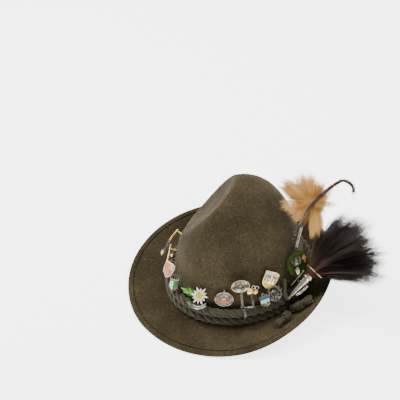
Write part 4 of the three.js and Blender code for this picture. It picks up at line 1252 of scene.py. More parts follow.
def blade(length: float, width: float, arch: float, thick: float, root: float = 0.3) -> Points:
    """A pointed leaf along x, closed round, as rows by sides.

    Args:
        length: its length.
        width: its half width.
        arch: how far it bends up.
        thick: its thickness.
        root: its width at the root, as a share.

    Returns:
        The rows.
    """
    share = np.linspace(0, 1, 9)[:, None]
    half = width * np.maximum(np.minimum(root + share * 2.2, 1) * (1 - share ** 2.4), 0.04)
    across = np.array([-1, -0.5, 0, 0.5, 1, 0.5, 0, -0.5])[None]
    lift = np.array([0, 0.75, 0.45, 0.75, 0, -0.6, -0.8, -0.6])[None] * thick / 2
    rows = np.stack([share * length + 0 * across, half * across,
                     arch * np.sin(share * math.pi * 0.7) + lift * (1 - 0.6 * share)], axis=-1)
    return rows


def spun(rows: Points, angle: float, start: float, lift: float = 0.0) -> Points:
    """Rows moved out along x by start and turned round z."""
    c, s = math.cos(math.radians(angle)), math.sin(math.radians(angle))
    moved = rows + np.array([start, 0, lift])
    return moved @ np.array([[c, s, 0], [-s, c, 0], [0, 0, 1.0]])


def shaped(path: Points, shares: Sequence[float], radii: Sequence[float]) -> Points:
    """Radii all along a path, from radii at shares of it."""
    return np.interp(np.linspace(0, 1, len(path)), shares, radii)


def ring(radius: float, count: int = 24, oval: float = 1.0, x: float = 0, y: float = 0,
         z: float = 0) -> Points:
    """Points of an oval, counterclockwise."""
    angle = np.linspace(0, 2 * math.pi, count, endpoint=False)
    return np.stack([x + radius * np.cos(angle), y + radius * oval * np.sin(angle), z + 0 * angle], axis=1)


@dataclass(frozen=True)
class Leaf:
    """A leaf of the flower pin: where it starts, its size and its angle."""

    x: float
    y: float
    length: float
    width: float
    angle: float


@dataclass
class Edelweiss:
    """The flower pin with its leaves and ribbon."""

    radius: float = 12.3
    petals: int = 12
    small_petals: int = 7
    floret: float = 1.7
    floret_ring: float = 4.1
    leaves: tuple[Leaf, ...] = (
        Leaf(-9, -1, 19.5, 4.4, 170), Leaf(-9, 3, 12, 3.4, 205), Leaf(-8, -3, 13, 3.6, 138),
        Leaf(-10, 0, 14, 3.0, 188))
    ribbon_route: tuple[Spot, ...] = (
        (-12, -11.5, -0.9), (-6, -15, -0.7), (1.5, -15.6, -0.6), (7.5, -12.6, -0.7), (11, -8.6, -0.9))

    def build(self, hat: Hat) -> None:
        """Builds flower, leaves and ribbon in one frame."""
        place = hat.pin(13.7, 2.94, 0.71, tip=30)
        self.flower(hat, place)
        self.foliage(hat, place)
        self.ribbon(hat, place)

    def flower(self, hat: Hat, place: Place) -> None:
        """Builds the white petals in two rows, and the yellow florets."""
        flower = Draft("edelweiss_flower")
        for i in range(self.petals):
            length = self.radius if i % 2 == 0 else self.radius * 0.82
            petal = spun(blade(length - 2, 1.75, 0.5, 1.0), 360 / self.petals * i + 6, 2, 0.6)
            flower.grid(petal, Look.WHITE, True, place)
        for i in range(self.small_petals):
            petal = spun(blade(self.radius * 0.5, 1.5, 0.4, 0.8), 360 / self.small_petals * i, 1.6, 1.5)
            flower.grid(petal, Look.WHITE, True, place)
        flower.lathe([(0, -0.2), (4.4, -0.2), (4.6, 0.8), (0, 1.2)], Look.WHITE, place, 20)
        hat.post(flower, place.origin)
        flower.build(hat, ["edelweiss_petals"])
        florets = Draft("edelweiss_buds")
        for x, y, _ in np.concatenate([[[0, 0, 0]], ring(self.floret_ring, 6)]):
            florets.ball((x, y, 2.9 if x or y else 3.4), (self.floret,) * 3, Look.YELLOW, place)
        florets.build(hat, ["edelweiss_florets"])

    def foliage(self, hat: Hat, place: Place) -> None:
        """Builds the green leaves with their ribs."""
        draft = Draft("edelweiss_foliage")
        for leaf in self.leaves:
            rows = spun(blade(leaf.length, leaf.width, 0.6, 1.1, 0.5), leaf.angle, 0) + [leaf.x, leaf.y, -2]
            draft.grid(rows, Look.GREEN, True, place)
            rib = [rows[0].mean(0), rows[4].mean(0) + [0, 0, 0.5], rows[-1].mean(0)]
            draft.wire(rib, 1.5, 0.22, place, Look.YELLOW, 6)
        hat.post(draft, place.at([-11, 0, -2]))
        draft.build(hat, ["edelweiss_leaves"])

    def ribbon(self, hat: Hat, place: Place) -> None:
        """Builds the curved ribbon under the flower, with a beaded edge."""
        draft = Draft("edelweiss_banner")
        path, level = curve(self.ribbon_route, 1.0), np.array([0, 1.0, 0])
        draft.sweep(path, 1.8, Look.SILVER, 12, place, flat=0.3, first=level)
        draft.sweep(path + [0, 0, 0.4], 1.1, Look.GREEN, 10, place, flat=0.3, first=level)
        for side in (-1.7, 1.7):
            draft.sweep(path + [0, side, 0.3], 0.35, Look.SILVER, 6, place)
        for bead in path[2:-2:3]:
            draft.ball(bead + [0, 0, 1.0], (0.6, 0.6, 0.45), Look.SILVER, place, 8)
        draft.sweep(np.array([[1, -14, -1.4], [1, -9, -1.4], [1, -4, -1.4]]), 0.8, Look.SILVER, 8, place)
        hat.post(draft, place.at([1, -4, -1.4]))
        draft.build(hat, ["edelweiss_ribbon"])


@dataclass
class OvalBadge:
    """The oval badge with a double rim round a small mountain view."""

    half_width: float = 12.5
    oval: float = 0.79
    beads: int = 30
    meadow: Outline = ((-7.6, -1.6), (-5.4, -4.4), (0, -5.8), (5.4, -4.4), (7.6, -1.6), (4, -2.4), (-4, -2.4))
    peaks: Outline = ((-6.5, 2.2), (-3, 2.6), (0, 5), (2.8, 2.8), (6.5, 2.2), (3.8, 5), (0, 6.2), (-3.8, 5))
    hut: Outline = ((-2.6, -2), (2.6, -2), (2.6, 0.8), (0, 3), (-2.6, 0.8))

    def build(self, hat: Hat) -> None:
        """Builds rim and picture."""
        place = hat.pin(34.1, 2.9, 0.22, tip=4)
        self.rim(hat, place)
        self.picture(hat, place)

    def rim(self, hat: Hat, place: Place) -> None:
        """Builds the double rim with its beads and its loop."""
        w, oval = self.half_width, self.oval
        top = w * oval
        rim = Draft("badge_frame")
        profile = [(0, 0), (w - 0.5, 0), (w, 0.7), (w, 1.8), (w - 0.5, 2.4), (w - 1.3, 2.4), (w - 1.7, 1.7),
                   (w - 3.4, 1.5), (w - 3.7, 2.1), (w - 4.3, 2.1), (w - 4.6, 1.3), (0, 1.3)]
        rim.lathe(profile, Look.SILVER, place, 64, oval)
        rim.plate(ring(w - 1.6, 48, oval)[:, :2], 1.3, 1.72, Look.DARK, place)
        rim.wire(ring(w - 0.8, 32, oval, z=2.3), 0.9, 0.34, place, Look.TUBE_SILVER, closed=True)
        for x, y, _ in ring(w - 2.5, self.beads, oval * 0.97):
            rim.ball((x, y, 1.7), (0.5, 0.5, 0.4), Look.SILVER, place, 8)
        rim.wire(ring(w - 4.1, 28, oval, z=1.8), 0.9, 0.42, place, closed=True)
        hat.post(rim, place.origin)
        rim.wire([[0, top, 0.6], [0.4, top + 2, 0.9], [0, top + 3.4, 0.2]], 0.6, 0.9, place, sides=10)
        rim.build(hat, ["badge_rim"])

    def picture(self, hat: Hat, place: Place) -> None:
        """Builds the mountain view."""
        view = Draft("badge_view")
        view.plate(ring(self.half_width - 4.8, 40, self.oval)[:, :2], 1.35, 1.8, Look.DARK, place)
        view.plate(self.meadow, 1.7, 2.1, Look.ORANGE, place)
        for side in (-1, 1):
            view.ball((side * 5.2, 0.4, 1.8), (2.5, 1.9, 0.6), Look.RED, place)
        view.plate(self.hut, 1.7, 2.2, Look.SILVER, place)
        view.plate(self.peaks, 1.7, 2.0, Look.SILVER, place)
        view.build(hat, ["badge_picture"])


@dataclass
class Horn:
    """The small horn: its silver dish, gold coil and silver cords."""

    wire: float = 1.3
    oval: float = 0.62
    bell: Outline = (
        (0, 0), (3, 0.2), (6, 0.8), (9.5, 2.4), (11.6, 4.2), (12.1, 4.9), (11.8, 5.3), (11.2, 5.0),
        (8.8, 3.1), (5.6, 1.9), (3, 1.5), (2.9, 2.4), (2.2, 3.4), (1, 3.9), (0, 4))

    def build(self, hat: Hat) -> None:
        """Builds dish, coil and cords."""
        dish = hat.pin(47, 4.375, 0.46, tip=15)
        seat = hat.pin(55.7, 3.59, 0.29)
        self.dish(hat, dish)
        self.coil(hat, seat)
        self.cords(hat, dish, seat)

    def dish(self, hat: Hat, place: Place) -> None:
        """Builds the dish with its rim."""
        draft = Draft("horn_bell")
        draft.lathe(self.bell, Look.SILVER, place, 56, self.oval)
        for reach, rise, look in ((11.6, 5.25, Look.CREAM), (7.4, 2.7, Look.TUBE_SILVER)):
            draft.wire(ring(reach, 24, self.oval, z=rise), 1.0, 0.42, place, look, closed=True)
        hat.post(draft, place.at([0, 0, 0.3]))
        draft.build(hat, ["horn_dish"])

    def coil(self, hat: Hat, place: Place) -> None:
        """Builds the two gold spirals with their loops."""
        draft = Draft("horn_spiral")
        share = np.linspace(0, 1, 46)
        reach = 0.22 + 0.55 * share
        for x, y, wide, tall, way in ((0, 0, 4.2, 5.4, 1), (7, -1.9, 4.1, 3.8, -1)):
            angle = way * 10 * share
            spiral = np.stack([x + wide * reach * np.cos(angle), y + tall * reach * np.sin(angle),
                               2.4 - 2.0 * share], axis=1)
            draft.sweep(spiral, wide * (0.14 + 0.2 * share), Look.GOLD, 12, place)
            draft.ball((x, y, 1.0), (wide * 0.62, tall * 0.62, 1.8), Look.GOLD, place)
        draft.wire([[0, 0, 0.8], [3.6, -2.2, 1.6], [7, -1.9, 0.8]], 0.8, 1.3, place, Look.GOLD, 10)
        for x, y in ((4.6, 5.4), (9.2, 3.4)):
            draft.wire(ring(2.3, 10, x=x, y=y, z=1.6), 0.6, 0.42, place, Look.TUBE_SILVER, closed=True)
        hat.post(draft, place.origin)
        draft.build(hat, ["horn_coil"])

    def cords(self, hat: Hat, dish: Place, seat: Place) -> None:
        """Hangs fine silver cords and a tassel from the dish over the band."""
        away = 6.9 + self.wire
        draft = Draft("horn_tassels")
        over = hat.over_band(48.5, 88, away + 3)
        hanging = [dish.at([-1, -8.4, 4]), over, hat.over_band(49.5, 45, away), hat.over_band(50, 5, away)]
        cross = [over, hat.over_band(53, 80, away + 3), hat.over_band(57, 75, away + 3.5),
                 seat.at([2, -5, 2])]
        for points, shift in ((hanging, 0.0), (hanging, 1.6), (cross, 0.0), (cross, -1.5)):
            moved = np.array(points) + np.array([shift * 0.7, shift * 0.7, shift * 0.2])
            rope(draft, curve(moved, 0.7), self.wire * 1.2, Look.SILVER, plies=2, yarns=3, pitch=2.5)
        end = hanging[-1]
        draft.ball(end + [0, 0, 1.5], (1.7, 1.7, 1.9), Look.SILVER)
        rng = np.random.default_rng(3)
        spread = unit(rng.normal(size=(26, 3))) * [1.5, 1.5, 0.3]
        falls = ((0.3, 0), (0.8, 1.5), (1.0, 3.5), (1.3, 5.5))
        control = [end + spread * wide - [0, 0, fall] for wide, fall in falls]
        strands(draft, control, 0.3, Look.SILVER, rng.uniform(0, 1, 26), 4, tip=0.8)
        for knot in np.linspace(cross[1], cross[2], 4):
            draft.ball(knot, (1.5, 1.5, 1.3), Look.SILVER)
        draft.build(hat, ["horn_cords"])


@dataclass(frozen=True)
class Tower:
    """A tower of the castle: its middle, its width and its eaves' height."""

    x: float
    wide: float
    high: float


@dataclass
class CastleShield:
    """The shield with towers over a meadow."""

    outline: Outline = (
        (-11.5, 12), (-11.5, -2), (-10, -6), (-7, -9.4), (0, -12.3), (7, -9.4), (10, -6), (11.5, -2),
        (11.5, 12))
    meadow: Outline = ((-10.4, -3), (-6.4, -8.6), (0, -11.4), (6.4, -8.6), (10.4, -3), (5, -4.4), (-5, -4.4))
    towers: tuple[Tower, ...] = (Tower(-6.6, 2.6, 3.2), Tower(-2.6, 2.2, 1.4), Tower(1.4, 3.0, 5.6),
                                 Tower(6.2, 2.6, 2.6))
    tower_foot: float = -3.4

    def build(self, hat: Hat) -> None:
        """Builds the shield with its raised fields."""
        place = hat.pin(73.4, 4.2, 0.2, spin=-38).scaled(0.94)
        draft = Draft("castle_pin")
        draft.plate(self.outline, 0, 1.2, Look.GOLD, place)
        draft.border(self.outline, 0.95, 1.3, 0.65, place, Look.GOLD, 1.0)
        draft.slab((-10.6, 10.6), (7.4, 11.2), 1.1, 1.75, Look.CREAM, place)
        draft.slab((-10.6, 10.6), (-2.6, 7.2), 1.1, 1.5, Look.BLUE, place)
        draft.plate(self.meadow, 1.1, 1.8, Look.YELLOW, place)
        for tower in self.towers:
            left, right, foot = tower.x - tower.wide / 2, tower.x + tower.wide / 2, self.tower_foot
            walls = [(left, foot), (right, foot), (right, tower.high), (tower.x, tower.high + 1.6),
                     (left, tower.high)]
            draft.plate(walls, 1.2, 2.1, Look.GOLD, place)
            draft.slab((tower.x - 0.4, tower.x + 0.4), (foot + 2, foot + 3.6), 2.0, 2.25, Look.DARK, place,
                       0.05)
        draft.slab((-8.4, 8.4), (-4.6, -2), 1.2, 1.95, Look.GOLD, place)
        for x, y, look in ((-5.5, -6.2, Look.GREEN), (-1.6, -8.2, Look.ORANGE), (2.4, -7, Look.GREEN),
                           (5.6, -5.8, Look.ORANGE)):
            draft.ball((x, y, 1.8), (1.1, 0.9, 0.4), look, place, 10)
        hat.post(draft, place.origin)
        draft.build(hat, ["castle_shield"])


@dataclass
class LeftPins:
    """The silver antler brooch and the little shield in front of it."""

    beam: tuple[Spot, ...] = ((1.5, -8, 1.2), (6.5, -5, 2.2), (8.6, 1.5, 2.4), (6.6, 7.5, 1.8),
                              (3.4, 11, 1.4))
    tines: tuple[Spot, ...] = ((0.25, 3.2, 1.6), (0.5, 3.0, 3.2), (0.72, 2.6, 3.8), (0.6, -2.8, 2.4))
    shield_outline: Outline = ((-6.5, 7), (-6.5, -1.5), (-4.6, -4.6), (0, -7), (4.6, -4.6), (6.5, -1.5),
                               (6.5, 7))

    def build(self, hat: Hat) -> None:
        """Builds both pins."""
        self.brooch(hat)
        self.shield(hat)

    def brooch(self, hat: Hat) -> None:
        """Builds the wreath of antlers and leaves round a dark stone."""
        place = hat.pin(74.5, 2.77, 0.79, tip=30)
        draft = Draft("antler_pin")
        draft.wire(ring(8.6, 12, 1.12, z=0.6), 1.0, 0.8, place, closed=True)
        for side in (-1, 1):
            beam = draft.taper([[side * x, y, z] for x, y, z in self.beam], 0.8, (1.15, 0.6), place, 10)
            for share, dx, dy in self.tines:
                start = beam[int(share * (len(beam) - 1))]
                tine = [start, start + [side * dx * 0.6, dy * 0.4, 0.5], start + [side * dx, dy, 0.4]]
                draft.taper(tine, 0.6, (0.75, 0.25), place)
        for x, y, _ in ring(5.2, 9, 1.1):
            leaf = spun(blade(3.6, 1.2, 0.6, 0.9), math.degrees(math.atan2(y, x)) + 50, 0)
            draft.grid(leaf + [x * 0.75, y * 0.75, 0.9], Look.SILVER, True, place)
        draft.ball((0.5, 0.5, 1.4), (3.4, 4.2, 1.7), Look.DARK, place, 20)
        draft.wire(ring(3.6, 10, 1.2, 0.5, 0.5, 1.2), 0.8, 0.5, place, closed=True)
        hat.post(draft, place.at([0, 0, 0.4]))
        draft.build(hat, ["antler_brooch"])

    def shield(self, hat: Hat) -> None:
        """Builds the little shield with a ring on top."""
        place = hat.pin(64.7, 2.6, 1.25, tip=26)
        draft = Draft("little_shield")
        draft.plate(self.shield_outline, 0, 1.1, Look.SILVER, place)
        draft.slab((-5.8, 5.8), (2.6, 6.4), 1.0, 1.5, Look.BLUE, place)
        draft.slab((-5.8, 5.8), (-1.2, 2.3), 1.0, 1.5, Look.WHITE, place)
        draft.plate([(-5.6, -1.5), (0, -6.3), (5.6, -1.5)], 1.0, 1.5, Look.GREEN, place)
        for x, y, look in ((-3, 0.6, Look.RED), (0.4, 1.2, Look.ORANGE), (3.2, 0.2, Look.DARK),
                           (-0.6, -2.6, Look.WHITE)):
            draft.ball((x, y, 1.5), (1.1, 0.9, 0.45), look, place, 10)
        draft.border(self.shield_outline, 0.97, 1.1, 0.45, place)
        draft.wire(ring(1.9, 10, y=8.7, z=0.6), 0.5, 0.55, place, closed=True)
        hat.post(draft, place.origin)
        draft.build(hat, ["small_shield"])


@dataclass
class RightPins:
    """The crowned crest, the red shield, the rod brooch and the charm on the wearer's right."""

    crest_outline: Outline = ((-7, 2), (-7, -4), (-5, -8), (0, -11.5), (5, -8), (7, -4), (7, 2), (4, 3),
                              (-4, 3))
    white_field: Outline = ((-5.2, -0.4), (-5.2, -4.2), (-3.4, -7), (0, -9.4), (0, 1.4), (-4.6, 1.4))
    green_field: Outline = ((0.2, -9.3), (3.4, -7), (5.2, -4.2), (5.2, -0.4), (4.6, 1.4), (0.2, 1.4))
    red_outline: Outline = ((-7.5, 10.5), (-7.5, -3), (-5.4, -6.8), (0, -10.5), (5.4, -6.8), (7.5, -3),
                            (7.5, 10.5))
    chain: tuple[Spot, ...] = ((-50.2, 4.94, 0.9), (-48.4, 4.11, 1.1), (-47.2, 3.6, 1.3))
    gold_links: int = 9

    def build(self, hat: Hat) -> None:
        """Builds all four."""
        self.crest(hat)
        self.red_shield(hat)
        self.rod(hat)
        self.charm(hat)

    def crest(self, hat: Hat) -> None:
        """Builds the crest with its open crown."""
        place = hat.pin(-14.9, 2.7, 0.83, tip=26, yaw=15, spin=18).scaled(1.08)
        draft = Draft("crowned_crest")
        draft.plate(self.crest_outline, 0, 1.3, Look.SILVER, place)
        draft.plate(self.white_field, 1.2, 1.7, Look.WHITE, place)
        draft.plate(self.green_field, 1.2, 1.7, Look.GREEN, place)
        for x in (-5.6, -2.9, 0, 2.9, 5.6):
            high = 10.6 - abs(x) * 0.35
            draft.wire([[x * 0.8, 2.6, 0.8], [x * 1.15, 6, 1.4], [x * 0.9, high, 0.9]], 0.8, 0.6, place)
            draft.ball((x * 0.9, high + 0.4, 0.9), (0.95,) * 3, Look.SILVER, place, 10)
        draft.wire([[-6, 3.4, 1.1], [0, 2.8, 1.7], [6, 3.4, 1.1]], 0.8, 0.9, place)
        for x, y in ((-2.8, -1.6), (2.8, -3), (-2, -5), (1.8, -6.2)):
            draft.ball((x, y, 1.7), (0.9, 0.9, 0.4), Look.SILVER, place, 8)
        hat.post(draft, place.origin)
        draft.build(hat, ["silver_crest"])

    def red_shield(self, hat: Hat) -> None:
        """Builds the red shield with its ring."""
        place = hat.pin(-30.5, 2.82, 0.75, tip=14, yaw=35).scaled(1.04)
        draft = Draft("red_pin")
        draft.plate(self.red_outline, 0, 1.2, Look.WHITE, place)
        draft.plate([(x * 0.84, y * 0.86) for x, y in self.red_outline], 1.1, 1.6, Look.ORANGE, place)
        draft.slab((0.6, 6.1), (3.4, 8.8), 1.5, 1.9, Look.CREAM, place)
        draft.wire(ring(3.0, 12, y=-1.6, z=1.7), 0.6, 0.55, place, Look.CREAM, closed=True)
        draft.ball((0, -1.6, 1.7), (1.2, 1.2, 0.6), Look.YELLOW, place, 10)
        draft.border(self.red_outline, 0.97, 1.2, 0.5, place)
        hat.post(draft, place.origin)
        draft.build(hat, ["red_shield"])

    def rod(self, hat: Hat) -> None:
        """Builds the gold rod with its ball."""
        high, low = hat.pin(-51.3, 3.445, 0.75), hat.pin(-49.5, 2.104, 0.875)
        along = low.origin - high.origin
        ends = [high.origin - along * 0.3, high.origin + along * 1.22]
        middle = high.origin + along * 0.5
        draft = Draft("gold_brooch")
        draft.wire([ends[0], (ends[0] + ends[1]) / 2, ends[1]], 1.0, 0.85, None, Look.GOLD, 12)
        for end in ends:
            draft.ball(end, (1.5,) * 3, Look.GOLD)
        for place in (high, low):
            draft.ball(place.origin, (1.5,) * 3, Look.GOLD)
            hat.post(draft, place.origin, Look.GOLD, 0.9)
        seat = (high.at([0, 0, -5]) + low.at([0, 0, -5])) / 2
        draft.sweep(np.linspace(middle, seat, 3), 0.7, Look.GOLD, 8)
        draft.ball(seat, (2.4,) * 3, Look.GOLD, sides=20)
        draft.build(hat, ["brooch_rod"])

    def charm(self, hat: Hat) -> None:
        """Builds the chain's links and the drop of tooth."""
        start = hat.pin(-50.2, 5.72, 0.6)
        route = curve([start.origin, *(hat.off_wall(*stop)[0] for stop in self.chain)], 2.1)
        draft = Draft("charm_links")
        for i in range(len(route) - 1):
            way = unit(route[i + 1] - route[i])
            side = unit(np.cross(way, [0.2, 0.5, 0.8] if i % 2 else [0.8, -0.5, 0.1]))
            angle = np.linspace(0, 2 * math.pi, 14, endpoint=False)
            middle = (route[i] + route[i + 1]) / 2
            link = middle + np.outer(np.cos(angle) * 1.6, way) + np.outer(np.sin(angle) * 0.95, side)
            look = Look.GOLD if i < self.gold_links else Look.SILVER
            draft.wire(link, 0.5, 0.36, None, look, closed=True)
        draft.ball(start.origin, (1.7,) * 3, Look.GOLD)
        hat.post(draft, start.origin, Look.GOLD, 0.9)
        draft.build(hat, ["charm_chain"])
        drop = Draft("charm_tooth")
        end, way = route[-1], unit(route[-1] - route[-3])
        bend = unit(np.cross(way, [0, 0, 1.0]))
        path = curve([end + way * 0.5, end + way * 4.5 + bend * 0.8, end + way * 8.6 - bend * 0.6], 0.6)
        drop.sweep(path, shaped(path, TOOTH_SHARES, (1.6, 2.3, 1.7, 0.3)), Look.IVORY, 16)
        drop.sweep(path[:4], [1.9, 2.1, 2.2, 2.1], Look.SILVER, 16)
        drop.build(hat, ["charm_drop"])


@dataclass
class Rosette:
    """The moss-green rosette with antlers, cross and tooth."""

    half_width: float = 17.4
    thickness: float = 7.3
    fibres: int = 5200
    fibre_radius: float = 0.34
    antler_middle: float = -0.22
    beam: tuple[Spot, ...] = ((1.0, 2.1, 0), (4.6, 3.1, 0.5), (6.0, 7.7, 0.3), (3.6, 12.2, 0))
    tines: tuple[Spot, ...] = ((0.3, 2.0, 1.8), (0.5, -1.8, 2.6), (0.55, 2.2, 1.8), (0.78, 2.0, 2.2))
    cross_outline: Outline = (
        (-1.2, 3.9), (-1.2, 1.4), (-2.9, 1.4), (-2.9, -1.3), (-1.2, -1.3), (-1.0, -6.2), (1.0, -6.2),
        (1.2, -1.3),
        (2.9, -1.3), (2.9, 1.4), (1.2, 1.4), (1.2, 3.9))
    stem_width: float = 5.2

    def build(self, hat: Hat) -> None:
        """Builds the pad and what is on it."""
        place = Place.facing(hat.off_wall(102.7, 4.3, 0.62)[0], 75, 30)
        self.pad(hat, place)
        self.antlers(hat, place)
        self.cross(hat, place)
        self.tooth(hat, place)
        self.stem(hat)

    def pad(self, hat: Hat, place: Place) -> None:
        """Builds the round pad and its pile of fibres, in tufts."""
        draft = Draft("rosette_pile")
        w, t, n = self.half_width, self.thickness, self.fibres
        profile = [(0, 0), (0.74 * w, 0), (0.9 * w, 0.2 * t), (0.96 * w, 0.42 * t), (0.9 * w, 0.68 * t),
                   (0.74 * w, 0.84 * t), (0.45 * w, 0.93 * t), (0, 0.96 * t)]
        draft.lathe(profile, Look.MOSS, place, 40, 1.0, lambda r, a: r * (1 + 0.03 * np.sin(9 * a)))
        rng = np.random.default_rng(11)
        angle = rng.uniform(0, 2 * math.pi, n)
        share = np.sqrt(rng.uniform(0.02, 1, n))
        across = np.stack([np.cos(angle), np.sin(angle)], axis=1)
        rise = t * np.sqrt(np.maximum(1 - share ** 3.2, 0)) * 0.9 + 0.8
        root = np.column_stack([across * (w * 0.9 * share)[:, None], rise - 1])
        out = unit(np.column_stack([across * (share ** 2 * 1.6)[:, None], 1.25 - share])
                   + rng.normal(0, 0.55, (n, 3)))
        clump = 0.5 + 0.5 * np.sin(angle * 5 + 1.3) * np.cos(share * 9 + angle * 2)
        length = (rng.uniform(1.0, 2.4, n) + 2.2 * clump * rng.uniform(0.3, 1, n))[:, None]
        sag = rng.normal(0, 0.7, (n, 3))
        control = [place.at(root + out * length * far + sag * fall)
                   for far, fall in ((0, 0), (0.4, 0), (0.75, 0.3), (1, 0.6))]
        tone = np.clip(clump * 0.5 + rng.uniform(0, 0.5, n), 0, 1)
        strands(draft, control, self.fibre_radius, Look.MOSS, tone, 3, tip=0.5)
        hat.post(draft, place.at([0, 0, 1]))
        draft.build(hat, ["rosette_pad"])

    def antlers(self, hat: Hat, place: Place) -> None:
        """Builds the silver antlers with their tines."""
        draft = Draft("rosette_horns")
        high, middle = self.thickness + 1.6, self.antler_middle * self.half_width
        for side in (-1, 1):
            beam = draft.taper([[middle + x * side, y, high + z] for x, y, z in self.beam], 0.8, (1.0, 0.45),
                               place, 10)
            for share, dx, dy in self.tines:
                start = beam[int(share * (len(beam) - 1))]
                tine = [start, start + [side * dx * 0.6, dy * 0.35, 0.5], start + [side * dx, dy, 0.3]]
                draft.taper(tine, 0.6, (0.65, 0.22), place)
        draft.ball((middle, 2.2, high), (2.0, 1.5, 1.2), Look.SILVER, place)
        for x, y in ((-1.4, 5.6), (1.2, 6.8), (0, 9.6)):
            draft.wire(ring(1.5, 10, x=middle + x, y=y, z=high), 0.5, 0.4, place, Look.TUBE_SILVER,
                       closed=True)
        for x in (-4.5, 4.5):
            draft.leg(middle + x, 4, (high, high - 3, high - 5), 0.5, Look.SILVER, place)
        draft.build(hat, ["rosette_antlers"])

    def cross(self, hat: Hat, place: Place) -> None:
        """Builds the gold cross with its stones."""
        high = self.thickness + 0.6
        x, y = 0.47 * self.half_width, 0.36 * self.half_width
        draft = Draft("rosette_star")
        arms = [(x + dx, y + dy) for dx, dy in self.cross_outline]
        draft.plate(arms, high, high + 1.6, Look.GOLD, place, 0.4)
        draft.ball((x, y, high + 1.6), (1.7, 1.7, 1.0), Look.ORANGE, place)
        for dy in (-2.6, -4.6, 2.8):
            draft.ball((x, y + dy, high + 1.6), (0.9, 0.9, 0.6), Look.ORANGE, place, 10)
        draft.leg(x, y, (high + 0.4, high - 2, high - 4), 0.6, Look.GOLD, place)
        draft.build(hat, ["rosette_cross"])

    def tooth(self, hat: Hat, place: Place) -> None:
        """Builds the tooth with its silver cap and claws."""
        draft = Draft("rosette_fang")
        x, y, z = -0.36 * self.half_width, -0.17 * self.half_width, self.thickness + 2.1
        path = curve([[x + 0.4, y + 1.6, z], [x, y - 2.4, z + 0.4], [x - 0.3, y - 5.6, z],
                      [x - 1.2, y - 8.6, z - 0.9]], 0.5)
        draft.sweep(path, shaped(path, TOOTH_SHARES, (2.2, 2.7, 2.2, 0.4)), Look.IVORY, 18, place)
        draft.sweep(path[:7], [2.3, 2.6, 2.8, 2.9, 2.9, 2.9, 2.8], Look.SILVER, 18, place)
        for angle in np.arange(8) * math.pi / 4:
            spoke = np.array([math.cos(angle), 0, math.sin(angle)])
            claw = np.stack([path[i] + spoke * reach for i, reach in ((3, 3.1), (7, 2.8), (10, 2.3))])
            draft.sweep(claw, 0.4, Look.SILVER, 6, place)
        draft.build(hat, ["rosette_tooth"])

    def stem(self, hat: Hat) -> None:
        """Runs the short green and gold cord from the rosette's foot down to the band."""
        top = hat.off_wall(88, 3.5, 0.3)[0]
        low = hat.over_band(84.5, 75, 9.0)
        path = curve([top, (top + low) / 2, low, hat.over_band(84.3, 30, 9.0)], 0.9)
        draft = Draft("rosette_stem")
        rope(draft, path, self.stem_width, Look.BRAID, yarns=4, pitch=2.2)
        draft.build(hat)


@dataclass(frozen=True)
class Lock:
    """A lock of the brush: its angle and its length from the mouth of the cone."""

    angle: float
    length: float


